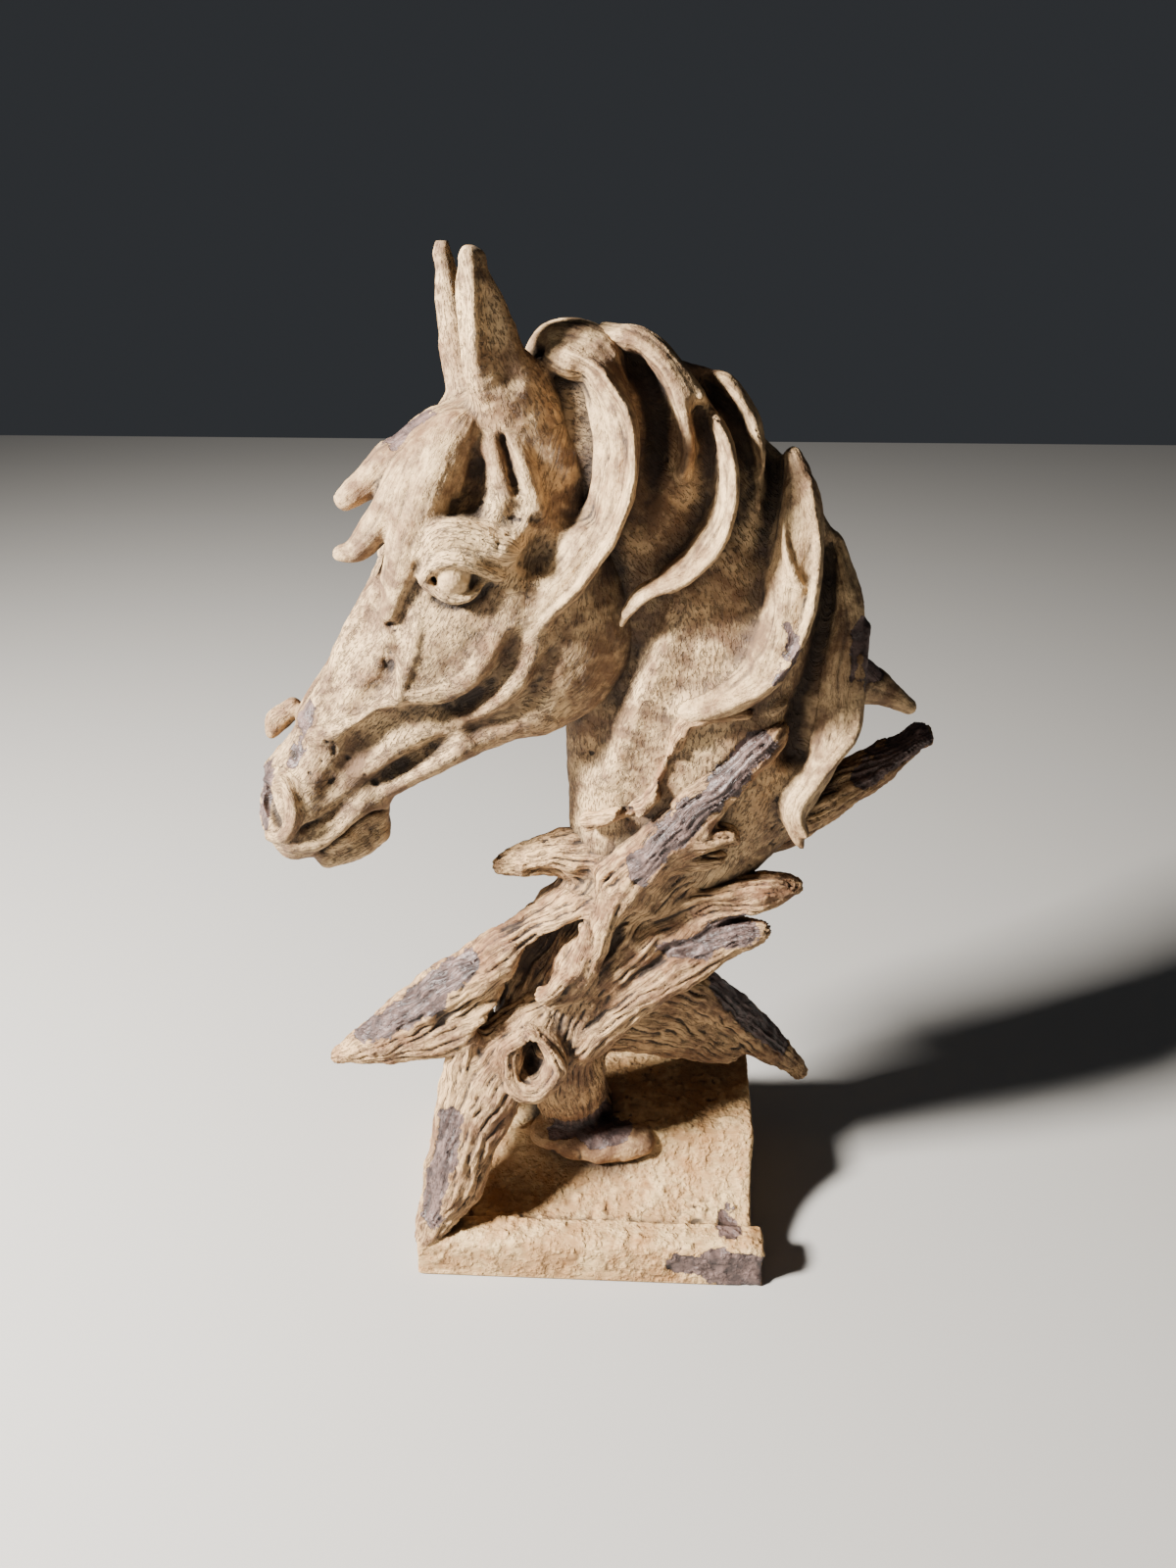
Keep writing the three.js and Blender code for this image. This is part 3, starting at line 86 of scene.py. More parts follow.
class Grain(Enum):
    """What a stroke's surface is carved as."""

    SKIN = "skin"
    HAIR = "hair"
    WOOD = "wood"
    LUMP = "lump"


class Turn(Enum):
    """Which frame the stations of a stroke are given in."""

    HEAD = "head"
    BODY = "body"


@dataclass(frozen=True)
class Stroke:
    """One stroke of clay, laid on or cut away.

    Each station is (x, y, z, half width, half thickness), z above the plinth. The
    stations and the fillet where it meets the rest are in percent of the figure's height.
    """

    fillet: float
    rows: tuple
    cut: bool = False
    paired: bool = False


def form(fillet: float, *rows: tuple) -> Stroke:
    """Return a stroke that is laid on."""
    return Stroke(fillet, rows)


def pair(fillet: float, *rows: tuple) -> Stroke:
    """Return a stroke that is laid on, and its mirror image too."""
    return Stroke(fillet, rows, paired=True)


def hollow(fillet: float, *rows: tuple) -> Stroke:
    """Return a stroke that is cut away."""
    return Stroke(fillet, rows, cut=True)


def hollow_pair(fillet: float, *rows: tuple) -> Stroke:
    """Return a stroke that is cut away, and its mirror image too."""
    return Stroke(fillet, rows, cut=True, paired=True)


FACE = (
    # Skull from the poll down the nose, cheeks and lower jaw
    form(3.2, (9.2, 0, 79.8, 7.5, 6.6), (12.8, 0, 72.1, 9.2, 8), (17.8, 0, 64, 7.7, 6.9),
        (23.1, 0, 57.9, 6.4, 5.6), (27.9, 0, 52.6, 5.5, 5), (31, 0, 48.7, 5.1, 5.1)),
    pair(2.2, (6.5, 3.6, 69, 6.7, 4), (7.5, 3.8, 64.3, 8.9, 4.3), (11.7, 3.6, 61.3, 6.2, 4)),
    pair(2.2, (9.3, 3.6, 57.1, 2.8, 3.2), (16.8, 3, 54, 2.4, 2.6), (22.4, 2.2, 50.7, 1.9, 2.4)),
    # Muzzle, upper lip, lower lip and chin
    form(2.2, (28.7, 0, 49.9, 4.7, 5.2), (31.9, 0, 47.6, 4.8, 5.7), (34.1, 0, 45.5, 3.5, 5)),
    form(1.3, (34.2, 0, 43, 2.1, 4.4), (30.2, 0, 44, 1.9, 4.6), (25.9, 0, 45.4, 1.4, 4)),
    form(1.6, (31.2, 0, 40.8, 1.3, 3.6), (28.2, 0, 41.9, 1.7, 3.9), (25.7, 0, 43, 1.4, 3.2)),
    # Filled temple, cheek bone, cheek muscle, lower edge of the nose bone, lip muscle, lower jaw
    pair(2.2, (12.3, 4.5, 81.5, 1.6, 1.6), (11.6, 5.5, 78.6, 1.8, 1.9), (10.7, 6.3, 75.2, 2, 1.9)),
    pair(1.3, (23.1, 5.4, 59.5, 0.7, 0.9), (20.6, 6, 59.8, 0.9, 1.1), (17.8, 6.1, 60.2, 1.1, 1.3),
        (14.9, 6.9, 62.5, 1.3, 1.4), (13, 7.2, 65.7, 1.3, 1.3), (11.8, 7.2, 68.9, 1.1, 1.1)),
    pair(1.3, (17.6, 4.4, 56.7, 0.8, 0.9), (14.1, 6.4, 59, 1.1, 1.1), (11.2, 7.2, 61.4, 1, 1.2),
        (9.4, 7.4, 65, 1, 1)),
    pair(1.1, (22.9, 5.5, 59.4, 0.5, 0.9), (24.8, 5.1, 58.8, 0.6, 1), (26.6, 4.7, 57.4, 0.7, 1.1),
        (28.8, 4.2, 56.1, 0.7, 1), (30.8, 3.2, 55.1, 0.8, 0.8)),
    pair(1.6, (18.3, 4.1, 55.6, 0.8, 0.9), (21.3, 4.2, 54.8, 0.9, 1), (23.8, 4.2, 53.3, 1, 1.1),
        (26.1, 4.4, 51.6, 0.9, 0.9)),
    pair(1.6, (16.4, 5, 54, 0.8, 1), (20, 4.6, 52, 0.8, 1.1), (22.8, 4.1, 50.7, 0.9, 1.1),
        (24.9, 3.4, 48.8, 0.9, 1.1), (25.6, 2.5, 46.6, 0.8, 0.9)),
    pair(1.6, (23.3, 1.6, 69.4, 0.8, 0.9), (25.8, -0.1, 65.1, 1, 0.9), (28.4, 1, 60.6, 1, 0.9),
        (31.4, 1.2, 56.1, 1, 0.9)),
    # Valleys under those edges
    hollow_pair(1.1, (20.6, 6.2, 57.9, 0.7, 1), (16.9, 6.1, 58.3, 0.9, 1.1),
        (13.7, 8, 61.5, 0.9, 1.1), (11.5, 8.5, 65.3, 0.8, 0.9)),
    hollow_pair(1.1, (15.7, 6.4, 55.6, 0.7, 0.9), (12.5, 7.4, 57.2, 0.8, 1), (10, 8, 59.8, 0.8, 1),
        (8.2, 8.7, 63.9, 0.7, 0.9)),
    hollow_pair(2.2, (22.5, 6.4, 57.3, 1.1, 1.5), (25.3, 6.3, 55.9, 1.3, 2),
        (27.9, 6.2, 53, 1.3, 2), (30.1, 6.5, 50.2, 1.1, 1.5)),
    hollow_pair(1.1, (18.8, 5.8, 54.4, 0.6, 0.8), (22, 5.3, 52.6, 0.8, 1),
        (24.4, 5.1, 51.1, 0.8, 1), (26.9, 5.9, 50, 0.8, 1.2), (29.5, 6.3, 47.8, 0.7, 1.2)),
    hollow_pair(1.6, (10.9, 8, 76.5, 1.4, 0.9), (9.4, 8, 73.3, 1.6, 0.9)),
    # Tear line with its veins, hollow and pit, lump on the nose
    pair(0.8, (22.8, 1.9, 70.9, 0.6, 0.9), (22.6, 3.8, 68.6, 0.6, 1), (23.2, 4.3, 65.9, 0.5, 0.9),
        (22.7, 5.4, 63.3, 0.4, 0.8), (22.7, 5.7, 60.9, 0.4, 0.8), (22.6, 5.6, 59.4, 0.4, 0.8)),
    pair(0.8, (20.3, 5.8, 67.4, 0.5, 0.7), (20.9, 6, 64.8, 0.4, 0.7), (21.9, 5.9, 61.9, 0.4, 0.6),
        (22.5, 5.7, 59.8, 0.3, 0.6)),
    hollow_pair(1.1, (23.2, 5.9, 63.8, 0.6, 0.9), (23.9, 5.9, 61.6, 0.7, 1.2),
        (25.3, 5.5, 60, 0.8, 1.2), (26.9, 5.1, 58.7, 0.7, 0.8)),
    hollow_pair(0.5, (22.6, 5, 67.7, 0.4, 0.8), (23.1, 5, 66.6, 0.4, 0.8)),
    form(0.8, (33.3, -3, 56, 1, 1.2), (35, -3.2, 54.6, 1.2, 1.2), (35.7, -3, 53.3, 0.6, 0.8)),
    # Fold and crease of the upper lip, mouth line, hollow behind the chin
    pair(1.1, (34.5, 4.4, 44.2, 0.6, 1), (32.2, 4.6, 44.3, 0.7, 1.2), (29.8, 4.8, 45.5, 0.7, 1.2),
        (27.6, 4.6, 47.4, 0.7, 1.1), (25.6, 3.5, 48, 0.6, 0.8)),
    hollow_pair(0.8, (34.1, 5.5, 46, 0.4, 0.9), (32.6, 6, 46.5, 0.4, 1.2),
        (30.7, 6.2, 47.5, 0.4, 1)),
    hollow_pair(0.8, (32, 4.4, 42.3, 0.3, 1.6), (30, 5.3, 44.1, 0.4, 1.8),
        (28.2, 5, 45.6, 0.5, 1.8), (26.5, 4.3, 46.3, 0.4, 1.5), (25, 2.9, 46.2, 0.3, 1)),
    hollow_pair(1.1, (27.3, 4.4, 44.4, 0.8, 0.9), (25.4, 4, 45.3, 0.7, 1)),
    # Nostrils
    pair(0.8, (36.1, 1.2, 50.3, 0.5, 1), (34.5, 3.4, 50.9, 0.6, 1.2), (33.8, 4.7, 49.7, 0.6, 1.4),
        (33.8, 5.2, 47.7, 0.6, 1.4), (34.9, 4.5, 45.7, 0.6, 1.2), (36.5, 3.1, 44.9, 0.5, 1)),
    hollow_pair(0.5, (36.7, 2.1, 49.3, 0.7, 1.8), (36.4, 3.2, 48.1, 0.9, 2),
        (35.8, 4.5, 46.9, 0.7, 1.5)),
    pair(0.5, (35.1, 3, 49, 0.4, 0.8), (34.9, 3.7, 47.7, 0.4, 0.8)),
    # Hollow over the eye
    hollow_pair(1.1, (13.8, 6.1, 81.6, 0.5, 1.1), (14.5, 7.2, 79.6, 1.2, 1.8),
        (14.9, 7.5, 77.7, 1, 1.5)),
    # Eyes: ball, lids, crease under them, the heavy brow with its fold and its link to the temple
    pair(0.3, (17.1, 7.6, 71.8, 1.5, 1.8), (17, 7.6, 71.8, 1.5, 1.8)),
    pair(0.8, (19.8, 7, 71.7, 0.4, 0.9), (18.8, 7.8, 73, 0.6, 1.1), (17.2, 8.6, 73.6, 0.7, 1.3),
        (15.2, 8.6, 73.1, 0.7, 1.2), (13.1, 7.9, 71.9, 0.5, 0.9)),
    pair(0.8, (19.3, 7.1, 70.9, 0.4, 0.9), (18, 7.6, 69.9, 0.5, 0.9), (16.2, 7.9, 69.8, 0.5, 0.9),
        (14.5, 7.9, 70.7, 0.5, 0.9)),
    hollow_pair(0.5, (18.9, 7.2, 69.6, 0.4, 0.8), (17.3, 7.8, 68.8, 0.4, 0.9),
        (15.5, 8.1, 69.3, 0.4, 0.9), (13.9, 8.3, 70.8, 0.4, 0.8)),
    pair(1.1, (19.2, 6.6, 74, 0.7, 1.3), (18, 7.2, 75.4, 1.3, 1.6), (16.5, 7.8, 75.6, 1.5, 1.7),
        (14.6, 8, 75.1, 1.4, 1.7), (12.6, 8.2, 74.4, 1.2, 1.8)),
    pair(1.3, (9.8, 6.6, 77.4, 0.9, 1.2), (11, 7.1, 75.4, 1.1, 1.3), (12.3, 7.3, 74.1, 1.2, 1.4)),
    # Ears: the near one with a blunt tip and a rim between two flats, the far one with a groove
    form(1.6, (10.2, 3.4, 85.2, 4.1, 3), (12.2, 4.4, 89.8, 2.9, 2.4), (13.4, 5, 94.2, 2.1, 1.9),
        (13.9, 5.2, 96.8, 1.3, 1.4), (14, 5.2, 98.1, 0.8, 1)),
    form(1.3, (13.4, -3.4, 85.4, 2.4, 2.6), (14.4, -4.6, 89.4, 1.9, 2), (15, -5.8, 93.9, 1.4, 1.5),
        (15.4, -6.4, 97.4, 1, 1.1), (15.4, -6.6, 99.1, 0.6, 0.9)),
    form(0.8, (14.4, 5.2, 98.4, 0.6, 0.9), (13.4, 5.2, 98.2, 0.5, 0.8)),
    hollow(0.8, (15.1, 6.6, 95.7, 0.4, 0.9), (15, 6.4, 92.6, 0.5, 1), (14.9, 5.9, 89.8, 0.4, 0.9)),
    hollow(1.3, (13, 7.1, 95, 0.6, 0.8), (12.3, 7.3, 91.9, 0.9, 1), (11.2, 7.2, 89.1, 1, 1)),
    form(0.8, (14.3, 5.6, 98.1, 0.5, 1), (14.3, 6.4, 95.7, 0.4, 0.9), (14.2, 6.4, 92.6, 0.4, 0.9),
        (14.1, 6, 89.8, 0.4, 0.9), (13.5, 5.5, 87.5, 0.4, 0.8)),
    hollow(0.5, (15.8, -6, 91.1, 0.6, 1.1), (15.9, -6.6, 94.9, 0.6, 0.9),
        (16, -6.8, 97.2, 0.4, 0.7)),
)

FORELOCK = (
    # Strands that run from the forelock over the temple
    pair(0.8, (13.7, 2.7, 84.7, 0.6, 1.1), (13.2, 4.3, 83.5, 0.7, 1.2), (12.8, 5.5, 81.7, 0.6, 1),
        (12.4, 6.3, 79.8, 0.4, 0.8)),
    pair(1.1, (12.3, 3.7, 84.9, 0.6, 1.1), (11, 5.6, 82.9, 0.7, 1.2), (9.9, 6.4, 80.5, 0.7, 1.2),
        (9.1, 6.9, 77.5, 0.4, 0.9)),
    pair(0.8, (14.8, 1.3, 84.6, 0.7, 1.2), (16.3, 2.7, 82.2, 0.7, 1.2), (17.1, 4.4, 79.8, 0.7, 1.2),
        (18, 5.4, 77.4, 0.7, 1.1)),
    pair(0.5, (14.3, 2.7, 84.4, 0.5, 0.9), (15.3, 3.6, 82.5, 0.5, 1), (15.9, 4.9, 80.4, 0.4, 0.9),
        (16.3, 5.4, 78.8, 0.4, 0.7)),
    hollow_pair(0.5, (12.1, 5.9, 83.5, 0.4, 0.7), (11.5, 7, 81.6, 0.4, 0.8),
        (11.1, 7.7, 79.4, 0.5, 0.8)),
    hollow_pair(0.5, (15.1, 3.3, 83.5, 0.3, 0.8), (15.9, 4.3, 81.6, 0.4, 1),
        (16.5, 5.3, 79.8, 0.4, 0.8)),
    # Forelock: its crown and its locks, two of them standing clear of the brow
    form(1.6, (13.5, 0, 84.3, 2.2, 3.6), (17, 0, 82.8, 2.3, 4.8), (19.9, 0, 80.3, 2.1, 4.4)),
    form(1.1, (17.1, 0, 83.5, 1.8, 3), (21.2, -0.4, 81.1, 1.8, 2.4), (23.9, -0.4, 78.9, 1.5, 2),
        (26.2, -0.2, 77.4, 1, 1.6)),
    form(1.1, (16.1, 3, 84, 1.6, 2), (19.7, 3.2, 80.9, 1.5, 2), (22.8, 2.8, 76.3, 1.6, 2),
        (25.2, 2.4, 73.5, 1.2, 1.7), (26.9, 2, 73, 0.7, 1.3)),
    pair(1.3, (15.5, 4.4, 84.2, 1.4, 1.6), (18.1, 5.4, 80.2, 1.8, 1.7), (20.2, 5.6, 75.5, 1.6, 1.6),
        (21.7, 5.2, 71.3, 1.1, 1.3), (22.9, 4.8, 67.9, 0.5, 0.9)),
    pair(0.8, (17.7, 4.8, 83.5, 0.5, 1), (18.9, 5.6, 79.4, 0.5, 1), (19.9, 5.6, 75, 0.5, 1),
        (21.3, 5.2, 71.3, 0.5, 0.9)),
    pair(0.8, (18.9, 4, 82.6, 0.6, 1), (21, 4.8, 78.9, 0.6, 1), (21.9, 4.8, 74.9, 0.6, 1),
        (22.9, 4.4, 71.1, 0.5, 0.9)),
)

FIRST_LOCK = (
    # Curl over the poll and the great lock that sweeps over the cheek, with its sharp edge and smooth channel
    form(1.3, (-6.2, -1, 89.4, 0.7, 2), (-4.1, -2, 91.4, 1.2, 2.6), (-1.4, -3, 91.5, 1.4, 3),
        (1.3, -4, 90.3, 1.3, 2.6), (2.9, -4.6, 87.9, 0.5, 1.4)),
    form(2.2, (-3, -5.5, 90, 0.9, 1.6), (0, -7, 88.2, 1.9, 2), (1.8, -8, 84.3, 2.4, 2.2),
        (1.9, -8.6, 79.7, 2.3, 2.2), (0.1, -8.9, 74.7, 1.8, 2), (-3.2, -8.9, 70.2, 1.3, 1.7),
        (-6.2, -8.5, 66.3, 0.8, 1.2), (-8, -7.8, 63.1, 0.3, 0.8)),
    form(0.8, (-1.8, -6.6, 90.6, 0.4, 1.3), (1.1, -8.4, 88.9, 0.5, 1.8), (3.3, -9.7, 85.6, 0.5, 2),
        (3.7, -10.5, 81.4, 0.5, 2), (2.5, -10.7, 76.7, 0.5, 1.9), (-0.6, -10.5, 71.6, 0.5, 1.6),
        (-4.4, -9.7, 67.1, 0.4, 1.2), (-7.6, -8.5, 63.3, 0.3, 0.8)),
    hollow(1.9, (-1.3, -8, 88.3, 0.8, 1.5), (0.1, -9.3, 85.4, 1, 1.7), (0.5, -10, 81.3, 1, 1.7),
        (-0.3, -10.1, 76.9, 0.8, 1.3)),
    hollow(0.5, (0.1, -8.6, 86.8, 0.3, 1), (0.7, -9.1, 84.5, 0.3, 1.1), (1.2, -9.4, 82, 0.3, 1)),
)

NECK = (
    # Neck, the crest along its back, the throat, and a soft fold down its side
    form(3.8, (-4.6, 0, 82.9, 7, 6), (3, 0, 79.1, 9.5, 6.6), (9.7, 0, 71.2, 11.9, 7.4),
        (12.1, 0, 62.5, 13.8, 8.2), (12.1, 0, 52.6, 14.1, 8.4), (9.5, 0, 42.6, 10.8, 7.4)),
    form(2.2, (-4.5, -0.6, 87.7, 2.4, 4), (0.2, -1, 86.7, 3.7, 4.8), (6.3, -1.6, 83.6, 4.2, 5.4),
        (12.6, -1.4, 79.1, 3.9, 5.2), (18.3, -0.8, 73.2, 3.5, 5)),
    form(2.2, (3.3, 0, 58, 6.2, 6), (2.6, 0, 49, 5.3, 6.4), (1.9, 0, 41.2, 4.6, 6)),
    form(2.2, (8.3, -6.5, 68.4, 1.3, 1.2), (6.4, -6.4, 62.8, 1.5, 1.3), (3.6, -5.9, 55.6, 1.6, 1.3),
        (1.7, -5.7, 49.4, 1.2, 1)),
    hollow(2.2, (5.9, -7.8, 68.8, 0.8, 1), (4.3, -7.5, 63.2, 1, 1.1), (1.7, -7.1, 56.5, 0.9, 1.1),
        (-0.1, -6.3, 50.7, 0.8, 1)),
)

LOCKS = (
    # Locks of the near side behind the first, each sweeping down and forwards
    form(1.3, (8.2, -5.4, 88, 0.9, 1.6), (10.7, -6.6, 84.8, 1.3, 1.9), (11.8, -7.8, 80.9, 1.4, 2),
        (11.5, -8.6, 76.9, 1.3, 1.9), (9.5, -9, 73.6, 1, 1.7), (6.9, -9.2, 71.1, 0.7, 1.4),
        (4.2, -9, 69.5, 0.5, 1.1), (2.8, -8.4, 66.6, 0.3, 0.8)),
    form(1.1, (7.9, -2.4, 88.7, 0.8, 1.6), (11.5, -3.8, 87.2, 1.3, 2), (13.8, -5, 84.4, 1.3, 2),
        (14.8, -6, 81.5, 0.9, 1.7), (15, -6.8, 79, 0.4, 1.1), (15.4, -7.2, 77.1, 0.3, 0.8)),
    form(2.2, (18, -4.4, 81.2, 1.1, 1.8), (19, -6.6, 76.8, 2, 2.2), (18.7, -8, 71.6, 2.2, 2.3),
        (18.1, -8.8, 66.6, 2.1, 2.3), (16.4, -9, 62.1, 1.7, 2), (13.1, -9, 59.2, 1.1, 1.5),
        (9.6, -8.8, 57.8, 0.6, 1)),
    form(1.6, (22.9, -2, 72.4, 1.1, 2), (24.6, -3, 66.8, 1.8, 2.6), (24.5, -4.4, 61.2, 2.2, 2.8),
        (24.3, -5.6, 55.8, 2.1, 2.6), (22.5, -6.6, 50.7, 1.5, 2.2), (20.5, -7.2, 47.2, 1.1, 1.8),
        (21.1, -7.4, 43.8, 0.7, 1.3), (21.6, -7.4, 42.7, 0.4, 1)),
)

LOCK_DETAILS = (
    # Lesser locks over the crest and between the main locks
    form(1.1, (1.1, -2.5, 91.7, 0.9, 2), (3.9, -4.2, 91.2, 1.3, 2.3), (6.6, -5.6, 88.9, 1.5, 2.3),
        (8.2, -6.8, 85.9, 1.3, 2.1), (8.9, -7.4, 82.9, 1, 1.7), (8.1, -7.6, 80.5, 0.5, 1.1)),
    form(0.8, (5.9, -7.6, 81.7, 0.5, 1), (6.2, -8, 78.7, 0.5, 1), (3.9, -8.2, 75.2, 0.5, 1),
        (2.7, -8.2, 72.1, 0.5, 0.9), (1.4, -8, 69.6, 0.3, 0.7)),
    form(0.8, (17.9, -7.8, 57.8, 0.5, 1), (19.6, -7.6, 59, 0.6, 1.1), (20.8, -7.2, 61.1, 0.5, 1)),
    form(1.3, (26.3, -1, 58.8, 2.6, 2.4), (29.9, 0, 56.8, 1.5, 1.6), (32.8, 0.6, 55, 0.8, 1)),
    # Sharp edges of the locks
    form(0.8, (9.6, -7.2, 86.8, 0.4, 1.3), (11.9, -8.9, 83.3, 0.5, 1.8),
        (12.5, -10, 79.2, 0.5, 1.8), (11.5, -10.5, 74.9, 0.5, 1.7), (8.7, -10.5, 71.7, 0.5, 1.5),
        (5.5, -10.2, 70.1, 0.4, 1.2), (3.3, -9.4, 67.9, 0.3, 0.8)),
    form(0.5, (10.4, -3.6, 88.1, 0.4, 1.2), (13.2, -5.4, 85.9, 0.4, 1.3),
        (14.9, -6.6, 82.8, 0.4, 1.3), (15.2, -7.4, 80, 0.3, 1)),
    form(0.8, (19.5, -6.8, 79.1, 0.4, 1.3), (20.5, -8.6, 74.1, 0.5, 1.6),
        (20.2, -9.9, 68.9, 0.5, 1.7), (18.8, -10.5, 64.7, 0.5, 1.6), (16.5, -10.6, 61.4, 0.5, 1.4),
        (13.1, -10, 59.2, 0.4, 1.1), (9.8, -9.2, 57.8, 0.3, 0.8)),
    form(0.8, (26.8, -3.6, 65, 0.5, 1.4), (26.3, -5.4, 59.5, 0.5, 1.5), (25.7, -7, 55.4, 0.6, 1.5),
        (23, -8.2, 51.3, 0.6, 1.4), (20.9, -8.6, 47.7, 0.5, 1.2), (21.8, -8.4, 44.4, 0.4, 1)),
    form(0.8, (17.4, -6.8, 79, 0.4, 1.2), (17.5, -9, 74.2, 0.4, 1.4), (19.2, -9.8, 70.7, 0.4, 1.3)),
    # Hollows beside the locks
    hollow(1.1, (3.8, -5.4, 89.3, 1, 2.4), (5.5, -7.2, 85.5, 1.4, 3), (5.6, -8.2, 80.5, 1.3, 2.8),
        (4.3, -8.8, 75.3, 0.9, 2), (3.4, -8.8, 71.6, 0.5, 1.2)),
    hollow(1.1, (9.8, -4, 88.2, 0.7, 2), (13.1, -7, 84.3, 0.8, 2.4), (14.3, -8.2, 79.3, 0.8, 2.2),
        (13.6, -8.8, 74.8, 0.8, 1.6)),
    hollow(1.1, (16.4, -3.8, 83, 0.7, 2), (16.5, -7.2, 78.2, 0.8, 2), (15.2, -8.6, 73.1, 0.9, 1.4)),
    hollow(1.1, (22.6, -4.2, 73, 0.8, 2), (22.5, -6, 67.7, 0.9, 2.4), (21.6, -7.2, 62.2, 1.1, 2.4),
        (20.2, -8, 57.3, 1.3, 2.4), (20, -8.2, 52.6, 1.4, 2.2)),
    hollow(1.6, (9.5, -7.4, 85.6, 0.8, 1.5), (10.3, -8.7, 81.5, 0.9, 1.7),
        (9.9, -9.4, 77.3, 0.8, 1.5), (8.2, -9.8, 74.3, 0.5, 1.2)),
)

